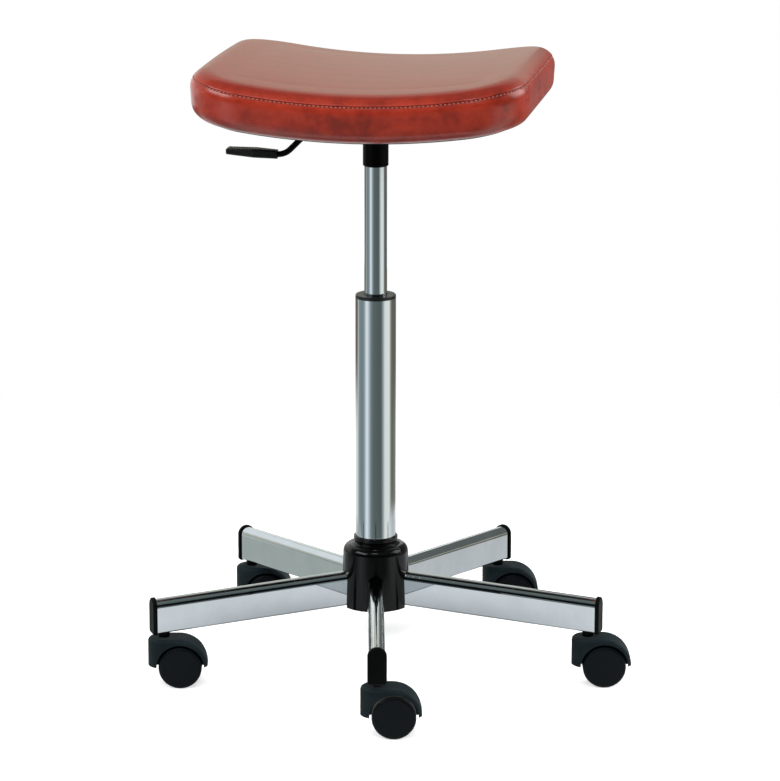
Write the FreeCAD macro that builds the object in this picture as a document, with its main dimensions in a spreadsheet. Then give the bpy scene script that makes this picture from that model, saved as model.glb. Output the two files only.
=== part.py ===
import FreeCAD, Part
import math
import os
import Sketcher

Vector = FreeCAD.Vector

# Medical stool with a saddle seat on a gas-lift column and a five-armed base on casters.
# Origin on the floor under the column, +Z up, the sitter faces -Y, sizes in mm and degrees.
sizes = [
    ("seat_width", 410.2, "seat over the sewn edge, side to side"),
    ("seat_depth", 358.2, "seat over the sewn edge, front to back"),
    ("seat_corner", 73, "corner radius of the seat in plan"),
    ("seat_thick", 57.4, "seat at its edges, underside to top"),
    ("seat_under", 690, "underside of the seat at its middle, above the floor"),
    ("saddle_radius", 941, "bend of the underside, ends up"),
    ("crown_rise", 4, "top of the seat, middle above the front and back edges"),
    ("top_edge", 23.5, "rounding of the upper edge"),
    ("bottom_edge", 21, "rounding of the lower edge"),
    ("seam_drop", 11, "sewn seam below the upper edge"),
    ("band_draw", 1.4, "side band drawn in under the seam"),
    ("board_thick", 12, "plywood board"),
    ("board_inset", 27, "board inside the cushion's outline"),
    ("cloth_thick", 1, "dust cloth under the board"),
    ("cloth_lap", 4, "dust cloth past the board's edge"),
    ("glue_line", 0.1, "board to foam"),
    ("plate_width", 150, "seat plate, side to side"),
    ("plate_depth", 180, "seat plate, front to back"),
    ("plate_corner", 14, "corner of the seat plate"),
    ("plate_top", 686, "upper face of the seat plate"),
    ("sheet_thick", 2.5, "pressed steel"),
    ("box_width", 90, "lever housing, side to side"),
    ("box_depth", 66, "lever housing, front to back"),
    ("box_corner", 9, "corner of the lever housing"),
    ("box_floor", 671.5, "underside of the lever housing"),
    ("lever_notch", 13, "gap in the housing and plate for the lever"),
    ("bolt_across", 60, "seat bolts from the middle, sideways"),
    ("bolt_along", 75, "seat bolts from the middle, front and back"),
    ("bolt_dia", 6, "seat bolt"),
    ("bolt_hole", 6.6, "clearance for a seat bolt"),
    ("bolt_head", 12, "head of a seat bolt, across"),
    ("bolt_head_high", 4, "head of a seat bolt"),
    ("bolt_tip", 701, "end of the seat bolts"),
    ("pad_dia", 26, "rubber pads under the board"),
    ("nut_dia", 10, "barrel of a tee nut"),
    ("nut_flange", 20, "flange of a tee nut"),
    ("nut_flange_thick", 1.5, "flange of a tee nut"),
    ("nut_top", 703, "top of the tee nuts"),
    ("nut_foot", 694, "foot of the tee nuts"),
    ("socket_dia", 31.4, "socket under the seat"),
    ("socket_foot", 635, "lower rim of the socket"),
    ("socket_top", 672.5, "upper rim of the socket"),
    ("socket_rim", 1.2, "bevel of the socket's lower rim"),
    ("cylinder_dia", 28, "gas cylinder"),
    ("cylinder_tip_dia", 26.4, "gas cylinder at the top of its taper"),
    ("cylinder_foot", 262, "lower end of the gas cylinder"),
    ("cylinder_top", 668.5, "upper end of the gas cylinder"),
    ("cylinder_bore", 24, "bore for the piston"),
    ("bore_top", 576, "upper end of that bore"),
    ("valve_dia", 7, "bore for the release pin"),
    ("valve_foot", 642, "foot of that bore"),
    ("pin_foot", 648, "foot of the release pin"),
    ("lever_dia", 7.5, "lever rod"),
    ("lever_level", 681, "lever rod inside the housing"),
    ("lever_tip", 6, "inner end of the lever past the column axis"),
    ("pivot_reach", 34, "lever pivot from the column axis"),
    ("pivot_dia", 5, "pivot pin"),
    ("pivot_length", 25, "pivot pin"),
    ("hinge_dia", 9.6, "cross sleeve on the lever"),
    ("hinge_length", 17, "cross sleeve on the lever"),
    ("ear_inner", 18, "pivot bracket between its ears"),
    ("ear_thick", 2, "pivot bracket's ears"),
    ("ear_base", 1.8, "pivot bracket's base"),
    ("ear_length", 14, "pivot bracket along the lever"),
    ("ear_top", 685.2, "top of the ears"),
    ("lever_gap", 0.75, "lever to release pin"),
    ("crank_start", 76.8, "where the lever turns down, from the column axis"),
    ("crank_angle", 45, "slope of the lever's crank"),
    ("crank_bend", 22, "bend radius of the lever"),
    ("grip_level", 645.3, "lever rod in the grip"),
    ("grip_start", 122, "inner end of the grip, from the column axis"),
    ("grip_waist", 150, "where the paddle reaches its width"),
    ("grip_end", 185, "outer end of the grip"),
    ("grip_top", 652, "upper face of the paddle"),
    ("grip_root_high", 10.4, "grip at its inner end"),
    ("grip_root_wide", 12, "grip at its inner end"),
    ("grip_waist_high", 10.8, "grip at the start of the paddle"),
    ("grip_wide", 19, "paddle"),
    ("grip_tip_high", 7.5, "paddle at its outer end"),
    ("grip_tip_round", 2.2, "rounding of the paddle's end"),
    ("grip_corner", 2.5, "rounding of the grip along its length"),
    ("grip_ribs", 9, "grooves across the paddle"),
    ("rib_pitch", 3.2, "groove to groove"),
    ("rib_groove", 1, "groove radius"),
    ("rib_depth", 0.67, "groove depth"),
    ("rib_margin", 6.4, "last groove from the paddle's end"),
    ("rod_in_grip", 16, "lever rod inside the grip"),
    ("grip_hole", 17, "hole in the grip for the rod"),
    ("rod_dia", 10, "piston rod"),
    ("rod_tail_dia", 8, "piston rod through the bearing"),
    ("rod_foot", 70.5, "lower end of the piston rod"),
    ("rod_shoulder", 90, "step of the rod on the bearing"),
    ("piston_foot", 402, "lower face of the piston"),
    ("piston_high", 14, "piston"),
    ("spigot_dia", 6, "end of the rod through the piston"),
    ("guide_recess", 1, "rod guide inside the cylinder's end"),
    ("guide_high", 18, "rod guide"),
    ("running_gap", 0.06, "radial play of a running fit"),
    ("seat_gap", 0.03, "radial play of a seated fit"),
    ("spare", 30, "how far a cutting form runs past what it cuts"),
    ("tube_dia", 50, "column tube"),
    ("tube_wall", 1.5, "column tube"),
    ("tube_tip_dia", 46.8, "column tube at the foot of its taper"),
    ("tube_foot", 75, "lower end of the column tube"),
    ("tube_floor", 4, "closed foot of the column tube"),
    ("tail_play", 0.4, "that foot to the rod"),
    ("taper_top", 170, "upper end of the tube's taper, over the hub"),
    ("tube_top", 471, "upper end of the column tube"),
    ("lip_high", 4, "lip of the guide sleeve above the tube"),
    ("lip_bevel", 0.8, "bevel of that lip"),
    ("lip_inset", 0.05, "that lip inside the tube's outline"),
    ("sleeve_foot", 386, "lower end of the guide sleeve"),
    ("race_dia", 30, "bearing races"),
    ("race_thick", 3, "bearing races"),
    ("race_play", 1.5, "lower race to the rod"),
    ("ball_dia", 4.9, "bearing balls"),
    ("ball_circle", 21, "circle of the ball centres"),
    ("ball_count", 10, "bearing balls"),
    ("ball_space", 5, "gap between the races"),
    ("cage_thick", 1.6, "ball cage"),
    ("cage_wide", 6.4, "ball cage, radial"),
    ("cage_play", 0.1, "ball cage to a ball"),
    ("buffer_dia", 22, "rubber buffer"),
    ("buffer_high", 16, "rubber buffer"),
    ("clip_dia", 17, "retaining clip"),
    ("clip_thick", 1.8, "retaining clip"),
    ("clip_play", 0.4, "retaining clip to the tube's foot"),
    ("clip_mouth", 5.3, "gap of the retaining clip"),
    ("core_dia", 58, "steel hub tube"),
    ("core_foot", 79, "lower end of the steel hub tube"),
    ("core_top", 146, "upper end of the steel hub tube"),
    ("hub_dia", 81, "hub cover at its shoulder"),
    ("hub_foot_dia", 85.5, "hub cover at its lower edge"),
    ("hub_wall", 3, "hub cover"),
    ("hub_foot", 79, "lower edge of the hub cover"),
    ("hub_shoulder", 147.5, "where the cover turns in"),
    ("shoulder_round", 10, "rounding of the cover's shoulder"),
    ("neck_dia", 52.8, "groove under the collar"),
    ("neck_level", 160, "groove under the collar"),
    ("collar_dia", 55, "collar round the column tube"),
    ("collar_foot", 163.5, "lower edge of the collar"),
    ("collar_top", 168, "upper edge of the collar"),
    ("collar_round", 1.2, "rounding of the collar"),
    ("collar_fit", 0.2, "collar to the column tube"),
    ("slot_play", 0.4, "hub cover to an arm"),
    ("arm_count", 5, "arms and casters"),
    ("base_turn", 10.4, "star of arms against the seat"),
    ("caster_turn", 10, "casters trail, against the seat"),
    ("arm_width", 19.5, "arm tube"),
    ("arm_high", 42.5, "arm tube, upright"),
    ("arm_foot", 68.7, "underside of the arms at their ends"),
    ("arm_rise", 3.04, "arms climb towards the hub"),
    ("arm_wall", 1.5, "arm tube"),
    ("arm_edge", 2, "lower edges of the arm tube"),
    ("arm_root", 26, "start of the arms before they are coped"),
    ("arm_reach", 285.7, "end of the arm tubes from the column axis"),
    ("cap_lip", 1.9, "end cap past the tube all round"),
    ("cap_thick", 5, "end cap outside the tube"),
    ("cap_round", 2.2, "rounding of the end cap"),
    ("plug_length", 22, "end cap inside the tube"),
    ("plug_play", 0.1, "end cap to the tube"),
    ("bush_dia", 14, "stem bush"),
    ("bush_top", 98, "upper end of the stem bush"),
    ("stem_reach", 274.7, "caster stems from the column axis"),
    ("stem_dia", 11, "caster stem"),
    ("stem_foot", 53.8, "lower end of the stem"),
    ("stem_top", 95, "upper end of the stem"),
    ("stem_tip", 1.5, "bevel of the stem's ends"),
    ("stem_collar", 14, "collar of the stem"),
    ("stem_play", 0.4, "stem's collar and end to the hood"),
    ("hood_top", 62, "top of the caster hood"),
    ("hood_width", 40, "caster hood"),
    ("hood_rear", 53.5, "back of the hood behind the stem"),
    ("hood_rear_corner", 18, "back corners of the hood before the fender is cut"),
    ("hood_bow", 35.4, "fender over the wheels"),
    ("hood_trim", 1.4, "hood cut off at the back"),
    ("hood_edge", 4.6, "rounding of the hood's edges"),
    ("arch_radius", 29.3, "wheel arch"),
    ("web_thick", 9, "web between the wheels"),
    ("web_boss", 9.5, "web round the axle"),
    ("web_lap", 0.5, "web into the hood"),
    ("trail", 20, "axle behind the stem"),
    ("axle_level", 26.6, "axle above the floor, the wheel's radius"),
    ("axle_dia", 6, "axle"),
    ("axle_length", 34, "axle"),
    ("wheel_wide", 14, "wheel"),
    ("wheel_inner", 5.5, "inner face of a wheel from the middle"),
    ("wheel_rim", 4.5, "rim at the inner side"),
    ("wheel_dish", 9, "depth of the inner side"),
    ("wheel_hub", 14, "hub at the inner side, across"),
    ("wheel_round", 4, "rounding of the outer edge"),
    ("wheel_bevel", 1.2, "bevel of the inner edge"),
    ("wheel_blind", 12, "depth of the axle bore"),
]

doc = FreeCAD.newDocument("medical_stool")
dims = doc.addObject("Spreadsheet::Sheet", "dims")
for row, (alias, value, note) in enumerate(sizes, 1):
    dims.set("A%d" % row, note)
    dims.set("B%d" % row, str(value))
    dims.setAlias("B%d" % row, alias)
doc.recompute()

nodes = []


def number(expression):
    return float(dims.evalExpression(str(expression)))


def node(made, label):
    made.Label = label
    nodes.append(made)
    return made


def body(label):
    made = doc.addObject("PartDesign::Body", label)
    made.Label = label
    return made


def origin(owner, role):
    return [item for item in owner.Origin.OriginFeatures if item.Role == role][0]


def sketch(owner, role, name, along="0", shift="0"):
    # along moves the sketch on its normal, shift on its own upright axis
    made = owner.newObject("Sketcher::SketchObject", "%s_%s" % (owner.Label, name))
    made.AttachmentSupport = (origin(owner, role), [""])
    made.MapMode = "FlatFace"
    made.setExpression("AttachmentOffset.Base.z", along)
    made.setExpression("AttachmentOffset.Base.y", shift)
    return made


def bind(made, kind, first, second, value, expression):
    index = made.addConstraint(Sketcher.Constraint(kind, *first, *second, value))
    made.setExpression("Constraints[%d]" % index, expression)


def place(made, geometry, end, x, y):
    for kind, expression, axis in (("DistanceX", x, -2), ("DistanceY", y, -1)):
        if expression == "0":
            made.addConstraint(Sketcher.Constraint("PointOnObject", geometry, end, axis))
        else:
            bind(made, kind, (-1, 1), (geometry, end), number(expression), expression)


def run(made, start, point):
    # one edge from start to a point (x, y), or (x, y, radius, turn) for an arc, turn 1 to the left
    finish = Vector(number(point[0]), number(point[1]), 0)
    if len(point) == 2:
        return made.addGeometry(Part.LineSegment(start, finish)), 1, 2
    radius = number(point[2])
    chord = finish - start
    left = Vector(-chord.y, chord.x, 0).normalize()
    height = math.sqrt(max(radius ** 2 - (chord.Length / 2) ** 2, 0))
    centre = (start + finish) / 2 + left * (height * point[3])
    ends = (start, finish) if point[3] > 0 else (finish, start)
    angles = [math.atan2(item.y - centre.y, item.x - centre.x) for item in ends]
    if angles[1] < angles[0]:
        angles[1] += 2 * math.pi
    arc = made.addGeometry(Part.ArcOfCircle(Part.Circle(centre, Vector(0, 0, 1), radius), *angles))
    bind(made, "Radius", (arc,), (), radius, point[2])
    return (arc, 1, 2) if point[3] > 0 else (arc, 2, 1)


def outline(made, points, closed=True):
    places = [Vector(number(point[0]), number(point[1]), 0) for point in points]
    first = 0 if closed else 1
    edges = [run(made, places[index - 1], points[index]) for index in range(first, len(points))]
    for index in range(first, len(edges)):
        before, after = edges[index - 1], edges[index]
        made.addConstraint(Sketcher.Constraint("Coincident", before[0], before[2], after[0], after[1]))
    if not closed:
        place(made, edges[0][0], edges[0][1], *points[0][:2])
    for edge, point in zip(edges, points[first:]):
        place(made, edge[0], edge[2], *point[:2])


def circle(made, x, y, radius):
    centre = Vector(number(x), number(y), 0)
    geometry = made.addGeometry(Part.Circle(centre, Vector(0, 0, 1), number(radius)))
    bind(made, "Radius", (geometry,), (), number(radius), radius)
    place(made, geometry, 3, x, y)


def rectangle(made, left, right, low, high):
    outline(made, [(left, low), (right, low), (right, high), (left, high)])


def rounded(made, width, depth, corner):
    # rectangle with round corners about the sketch's origin
    x = "(%s) / 2" % width
    y = "(%s) / 2" % depth
    inner_x = "(%s - (%s))" % (x, corner)
    inner_y = "(%s - (%s))" % (y, corner)
    outline(made, [
        (inner_x, "-" + y), (x, "-" + inner_y, corner, 1), (x, inner_y), (inner_x, y, corner, 1),
        ("-" + inner_x, y), ("-" + x, inner_y, corner, 1), ("-" + x, "-" + inner_y),
        ("-" + inner_x, "-" + y, corner, 1),
    ])


def pad(owner, profile, length, symmetric=False, backward=False):
    made = owner.newObject("PartDesign::Pad", "%s_pad" % owner.Label)
    made.Profile = profile
    made.SideType = "Symmetric" if symmetric else "One side"
    made.Reversed = backward
    made.setExpression("Length", length)
    return made


def climb(made, angle):
    # leans a pad along +X down by that angle, its length still counts along X
    made.UseCustomVector = True
    made.AlongSketchNormal = True
    made.Direction = Vector(1, 0, -math.tan(math.radians(number(angle))))
    made.setExpression("Direction.z", "-tan(%s)" % angle)
    return made


def pocket(owner, profile, length, symmetric=False, forward=False):
    # cuts against the sketch's normal, or along it when forward
    made = owner.newObject("PartDesign::Pocket", "%s_pocket" % owner.Label)
    made.Profile = profile
    made.SideType = "Symmetric" if symmetric else "One side"
    made.Reversed = forward
    made.setExpression("Length", length)
    return made


def round_edges(owner, base, radius, wanted):
    doc.recompute()
    names = ["Edge%d" % index for index, edge in enumerate(base.Shape.Edges, 1) if wanted(edge)]
    made = owner.newObject("PartDesign::Fillet", "%s_fillet" % owner.Label)
    made.Base = (base, names)
    made.setExpression("Radius", radius)
    return made


def upright(edge):
    ends = [vertex.Point for vertex in edge.Vertexes]
    return len(ends) == 2 and math.hypot(ends[0].x - ends[1].x, ends[0].y - ends[1].y) < 0.01


def on_face(face):
    return lambda edge: any(edge.isSame(other) for other in face.Edges)


def turned(label, points):
    # a turned piece about the Z axis, points are (radius, height)
    made = body(label)
    profile = sketch(made, "XZ_Plane", "profile")
    outline(profile, points)
    feature = made.newObject("PartDesign::Revolution", label + "_turned")
    feature.Profile = profile
    feature.ReferenceAxis = (profile, ["V_Axis"])
    feature.Angle = 360
    return made


def ring(label, inner, outer, low, high):
    return turned(label, [(inner, low), (outer, low), (outer, high), (inner, high)])


def moved(made, x, y, z, angle=0):
    made.Placement = FreeCAD.Placement(Vector(x, y, z), FreeCAD.Rotation(Vector(0, 0, 1), angle))
    return made


def group(label, members):
    made = doc.addObject("Part::Compound", label)
    made.Links = members
    return node(made, label)


# Saddle seat
saddle_centre = "(dims.seat_under + dims.saddle_radius)"


def bow(radius, half):
    # height of the saddle curve of that radius at that distance from the middle
    return "%s - sqrt((%s) ^ 2 - (%s) ^ 2)" % (saddle_centre, radius, half)


def saddle_strip(profile, half, lower, upper):
    # section between two saddle curves
    outline(profile, [
        ("-(%s)" % half, bow(lower, half)),
        (half, bow(lower, half), lower, 1),
        (half, bow(upper, half)),
        ("-(%s)" % half, bow(upper, half), upper, -1),
    ])


def saddle_level(label, radius):
    # everything above a saddle curve, from front to back
    made = doc.addObject("Part::Cylinder", label)
    made.setExpression("Radius", radius)
    made.setExpression("Height", "dims.seat_depth + 2 * dims.spare")
    across = FreeCAD.Rotation(Vector(1, 0, 0), 90)
    back = Vector(0, number("dims.seat_depth / 2 + dims.spare"), number(saddle_centre))
    made.Placement = FreeCAD.Placement(back, across)
    return made


def saddle_sheet(label, width, depth, corner, lower, upper):
    # bent sheet, trimmed to a rectangle with round corners
    made = body(label)
    profile = sketch(made, "XZ_Plane", "profile")
    saddle_strip(profile, "(%s) / 2" % width, lower, upper)
    pad(made, profile, depth, symmetric=True)
    trim = sketch(made, "XY_Plane", "trim", along="dims.seat_under - dims.spare")
    rectangle(trim, "-dims.seat_width", "dims.seat_width", "-dims.seat_depth", "dims.seat_depth")
    rounded(trim, width, depth, corner)
    pocket(made, trim, "dims.seat_thick + 2 * dims.spare", forward=True)
    return made


def cushion_form(label, draw):
    # closed saddle block with crown and rounded edges, drawn in all round by draw
    made = body(label)
    half = "dims.seat_width / 2 - %s" % draw
    past = "dims.seat_width / 2 + dims.spare"
    crown_radius = "(dims.seat_depth ^ 2 / 8 / dims.crown_rise)"
    top_radius = "(dims.saddle_radius - dims.seat_thick - dims.crown_rise + %s)" % draw
    axis_level = "(%s - %s - %s)" % (saddle_centre, top_radius, crown_radius)
    blank_top = "(dims.seat_under + dims.seat_thick + dims.spare)"
    clear_top = "%s + dims.seat_thick - %s" % (blank_top, axis_level)
    block_profile = sketch(made, "XZ_Plane", "block")
    outline(block_profile, [
        ("-(%s)" % half, bow("dims.saddle_radius", half)),
        (half, bow("dims.saddle_radius", half), "dims.saddle_radius", 1),
        (half, blank_top),
        ("-(%s)" % half, blank_top),
    ])
    block = pad(made, block_profile, "dims.seat_depth - 2 * %s" % draw, symmetric=True)
    corners = round_edges(made, block, "dims.seat_corner - %s" % draw, upright)
    crown_profile = sketch(made, "XZ_Plane", "crown", shift=axis_level)
    rim = "%s - %s" % (bow(top_radius, past), axis_level)
    outline(crown_profile, [
        ("-(%s)" % past, rim),
        (past, rim, top_radius, 1),
        (past, clear_top),
        ("-(%s)" % past, clear_top),
    ])
    crown = made.newObject("PartDesign::Groove", label + "_crown")
    crown.Profile = crown_profile
    crown.ReferenceAxis = (crown_profile, ["H_Axis"])
    crown.setExpression("Angle", "4 * asin(dims.seat_depth / 2 / %s)" % crown_radius)
    crown.Midplane = True
    doc.recompute()
    if crown.Shape.Volume >= corners.Shape.Volume:
        raise RuntimeError("the crown cut nothing from " + label)
    top = max(crown.Shape.Faces, key=lambda face: face.CenterOfMass.z)
    edge = round_edges(made, crown, "dims.top_edge - %s" % draw, on_face(top))
    doc.recompute()
    under = min(edge.Shape.Faces, key=lambda face: face.CenterOfMass.z)
    round_edges(made, edge, "dims.bottom_edge", on_face(under))
    return made


board_width = "(dims.seat_width - 2 * dims.board_inset)"
board_depth = "(dims.seat_depth - 2 * dims.board_inset)"
board_corner = "(dims.seat_corner - dims.board_inset)"
bolt_places = [(x, y) for x in (-1, 1) for y in (-1, 1)]


def bolt_circles(profile, radius):
    for x, y in bolt_places:
        circle(profile, "%d * dims.bolt_across" % x, "%d * dims.bolt_along" % y, radius)


def at_bolts(label, maker):
    members = []
    for index, (x, y) in enumerate(bolt_places, 1):
        member = maker("%s_%d" % (label, index))
        members.append(moved(member, x * number("dims.bolt_across"), y * number("dims.bolt_along"), 0))
    return members


def seat_cushion():
    # top panel over the seam, side band drawn in under it, recess for the board below
    lid_form = cushion_form("cushion_lid_form", "0")
    band = cushion_form("cushion_band", "dims.band_draw")
    seam = saddle_level("seam_level", "dims.saddle_radius - dims.seat_thick + dims.seam_drop")
    lid = doc.addObject("Part::Common", "cushion_lid")
    lid.Base = lid_form
    lid.Tool = seam
    upholstery = doc.addObject("Part::Fuse", "upholstery")
    upholstery.Base = lid
    upholstery.Tool = band
    made = doc.addObject("Part::Cut", "seat_cushion")
    made.Base = upholstery
    made.Tool = saddle_sheet("board_recess", board_width + " + 2 * dims.glue_line",
                             board_depth + " + 2 * dims.glue_line", board_corner + " + dims.glue_line",
                             "(dims.saddle_radius + dims.board_thick)",
                             "(dims.saddle_radius - dims.board_thick - dims.glue_line)")
    node(made, "seat_cushion")


def seat_board():
    made = saddle_sheet("seat_board", board_width, board_depth, board_corner,
                        "dims.saddle_radius", "(dims.saddle_radius - dims.board_thick)")
    holes = sketch(made, "XY_Plane", "holes", along="dims.plate_top")
    bolt_circles(holes, "dims.nut_dia / 2 + dims.seat_gap")
    pocket(made, holes, "dims.spare", forward=True)
    flanges = sketch(made, "XY_Plane", "flanges", along="dims.nut_top - dims.nut_flange_thick")
    bolt_circles(flanges, "dims.nut_flange / 2 + dims.seat_gap")
    pocket(made, flanges, "dims.spare", forward=True)
    node(made, "seat_board")


def underside_cover():
    made = saddle_sheet("underside_cover", board_width + " + 2 * dims.cloth_lap",
                        board_depth + " + 2 * dims.cloth_lap", board_corner + " + dims.cloth_lap",
                        "(dims.saddle_radius + dims.cloth_thick + dims.seat_gap)",
                        "(dims.saddle_radius + dims.seat_gap)")
    holes = sketch(made, "XY_Plane", "holes", along="dims.plate_top")
    bolt_circles(holes, "dims.pad_dia / 2 + dims.cloth_thick")
    pocket(made, holes, "dims.spare", forward=True)
    node(made, "underside_cover")


def tee_nut(label):
    under_flange = "dims.nut_top - dims.nut_flange_thick"
    return turned(label, [
        ("dims.bolt_dia / 2 + dims.seat_gap", "dims.nut_foot"),
        ("dims.nut_dia / 2", "dims.nut_foot"),
        ("dims.nut_dia / 2", under_flange),
        ("dims.nut_flange / 2", under_flange),
        ("dims.nut_flange / 2", "dims.nut_top"),
        ("dims.bolt_dia / 2 + dims.seat_gap", "dims.nut_top"),
    ])


def pad_blank(label):
    return ring(label, "dims.bolt_hole / 2", "dims.pad_dia / 2",
                "dims.plate_top", "dims.seat_under + dims.board_thick")


def spacer_pads():
    # rubber pads, their tops follow the bent underside of the board
    board_level = saddle_level("board_level", "dims.saddle_radius + dims.seat_gap")
    members = []
    for blank in at_bolts("pad_blank", pad_blank):
        member = doc.addObject("Part::Cut", "spacer_pad")
        member.Base = blank
        member.Tool = board_level
        members.append(member)
    group("spacer_pads", members)


def plate_bolt(label):
    under_plate = "dims.plate_top - dims.sheet_thick"
    head_foot = under_plate + " - dims.bolt_head_high"
    return turned(label, [
        ("0", head_foot),
        ("dims.bolt_head / 2", head_foot),
        ("dims.bolt_head / 2", under_plate),
        ("dims.bolt_dia / 2", under_plate),
        ("dims.bolt_dia / 2", "dims.bolt_tip"),
        ("0", "dims.bolt_tip"),
    ])


def mechanism_box():
    # pressed seat plate with the lever housing under it
    made = body("mechanism_box")
    plate = sketch(made, "XY_Plane", "plate", along="dims.plate_top - dims.sheet_thick")
    rounded(plate, "dims.plate_width", "dims.plate_depth", "dims.plate_corner")
    pad(made, plate, "dims.sheet_thick")
    tray = sketch(made, "XY_Plane", "tray", along="dims.box_floor")
    rounded(tray, "dims.box_width", "dims.box_depth", "dims.box_corner")
    pad(made, tray, "dims.plate_top - dims.box_floor")
    inside = sketch(made, "XY_Plane", "inside", along="dims.plate_top")
    rounded(inside, "dims.box_width - 2 * dims.sheet_thick", "dims.box_depth - 2 * dims.sheet_thick",
            "dims.box_corner - dims.sheet_thick")
    pocket(made, inside, "dims.plate_top - dims.box_floor - dims.sheet_thick")
    mouth = sketch(made, "XY_Plane", "mouth", along="dims.box_floor + 2 * dims.sheet_thick")
    circle(mouth, "0", "0", "dims.socket_dia / 2 + dims.seat_gap")
    pocket(made, mouth, "4 * dims.sheet_thick")
    notch = sketch(made, "YZ_Plane", "notch", along="dims.sheet_thick * 2 - dims.box_width / 2")
    rectangle(notch, "-dims.lever_notch / 2", "dims.lever_notch / 2",
              "dims.lever_level - dims.hinge_dia / 2", "dims.plate_top + dims.sheet_thick")
    pocket(made, notch, "dims.plate_width / 2")
    holes = sketch(made, "XY_Plane", "holes", along="dims.plate_top + dims.sheet_thick")
    bolt_circles(holes, "dims.bolt_hole / 2")
    pocket(made, holes, "3 * dims.sheet_thick")
    node(made, "mechanism_box")


def taper_socket():
    tip = "dims.cylinder_tip_dia / 2 + dims.seat_gap"
    node(turned("taper_socket", [
        ("dims.cylinder_dia / 2 + dims.seat_gap", "dims.socket_foot"),
        ("dims.socket_dia / 2 - dims.socket_rim", "dims.socket_foot"),
        ("dims.socket_dia / 2", "dims.socket_foot + dims.socket_rim"),
        ("dims.socket_dia / 2", "dims.socket_top"),
        (tip, "dims.socket_top"),
        (tip, "dims.cylinder_top"),
    ]), "taper_socket")


# Release lever
def pivot_bracket():
    made = body("pivot_bracket")
    inner = "dims.ear_inner / 2"
    outer = "(dims.ear_inner / 2 + dims.ear_thick)"
    low = "dims.box_floor + dims.sheet_thick"
    base = low + " + dims.ear_base"
    profile = sketch(made, "YZ_Plane", "profile", along="-dims.pivot_reach")
    outline(profile, [
        ("-" + outer, low), (outer, low), (outer, "dims.ear_top"), (inner, "dims.ear_top"),
        (inner, base), ("-" + inner, base), ("-" + inner, "dims.ear_top"), ("-" + outer, "dims.ear_top"),
    ])
    pad(made, profile, "dims.ear_length", symmetric=True)
    eye = sketch(made, "XZ_Plane", "eye")
    circle(eye, "-dims.pivot_reach", "dims.lever_level", "dims.pivot_dia / 2 + dims.seat_gap")
    pocket(made, eye, "dims.ear_inner + 4 * dims.ear_thick", symmetric=True)
    node(made, "pivot_bracket")


def pivot_pin():
    made = doc.addObject("Part::Cylinder", "pivot_pin")
    made.setExpression("Radius", "dims.pivot_dia / 2")
    made.setExpression("Height", "dims.pivot_length")
    end = Vector(-number("dims.pivot_reach"), number("dims.pivot_length / 2"), number("dims.lever_level"))
    made.Placement = FreeCAD.Placement(end, FreeCAD.Rotation(Vector(1, 0, 0), 90))
    node(made, "pivot_pin")


def release_lever():
    # rod cranked down to the grip, with a cross sleeve on the pivot
    made = body("release_lever")
    section = sketch(made, "YZ_Plane", "section", along="dims.lever_tip")
    circle(section, "0", "dims.lever_level", "dims.lever_dia / 2")
    tangent = "dims.crank_bend * tan(dims.crank_angle / 2)"
    along = tangent + " * cos(dims.crank_angle)"
    down = tangent + " * sin(dims.crank_angle)"
    crank_end = "(dims.crank_start + (dims.lever_level - dims.grip_level) / tan(dims.crank_angle))"
    route = sketch(made, "XZ_Plane", "route")
    outline(route, [
        ("dims.lever_tip", "dims.lever_level"),
        ("-dims.crank_start + " + tangent, "dims.lever_level"),
        ("-dims.crank_start - " + along, "dims.lever_level - " + down, "dims.crank_bend", 1),
        ("-%s + %s" % (crank_end, along), "dims.grip_level + " + down),
        ("-%s - %s" % (crank_end, tangent), "dims.grip_level", "dims.crank_bend", -1),
        ("-(dims.grip_start + dims.rod_in_grip)", "dims.grip_level"),
    ], closed=False)
    rod = made.newObject("PartDesign::AdditivePipe", "release_lever_rod")
    rod.Profile = section
    rod.Spine = route
    sleeve = sketch(made, "XZ_Plane", "sleeve")
    circle(sleeve, "-dims.pivot_reach", "dims.lever_level", "dims.hinge_dia / 2")
    pad(made, sleeve, "dims.hinge_length", symmetric=True)
    bore = sketch(made, "XZ_Plane", "bore")
    circle(bore, "-dims.pivot_reach", "dims.lever_level", "dims.pivot_dia / 2 + dims.running_gap")
    pocket(made, bore, "2 * dims.hinge_length", symmetric=True)
    node(made, "release_lever")


def grip_section(owner, name, reach, wide, low, high):
    made = sketch(owner, "YZ_Plane", name, along="-" + reach)
    corner = "dims.grip_corner"
    half = "(%s) / 2" % wide
    side = "(%s - %s)" % (half, corner)
    outline(made, [
        (side, low), (half, "%s + %s" % (low, corner), corner, 1),
        (half, "%s - %s" % (high, corner)), (side, high, corner, 1),
        ("-" + side, high), ("-" + half, "%s - %s" % (high, corner), corner, 1),
        ("-" + half, "%s + %s" % (low, corner)), ("-" + side, low, corner, 1),
    ])
    return made


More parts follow.
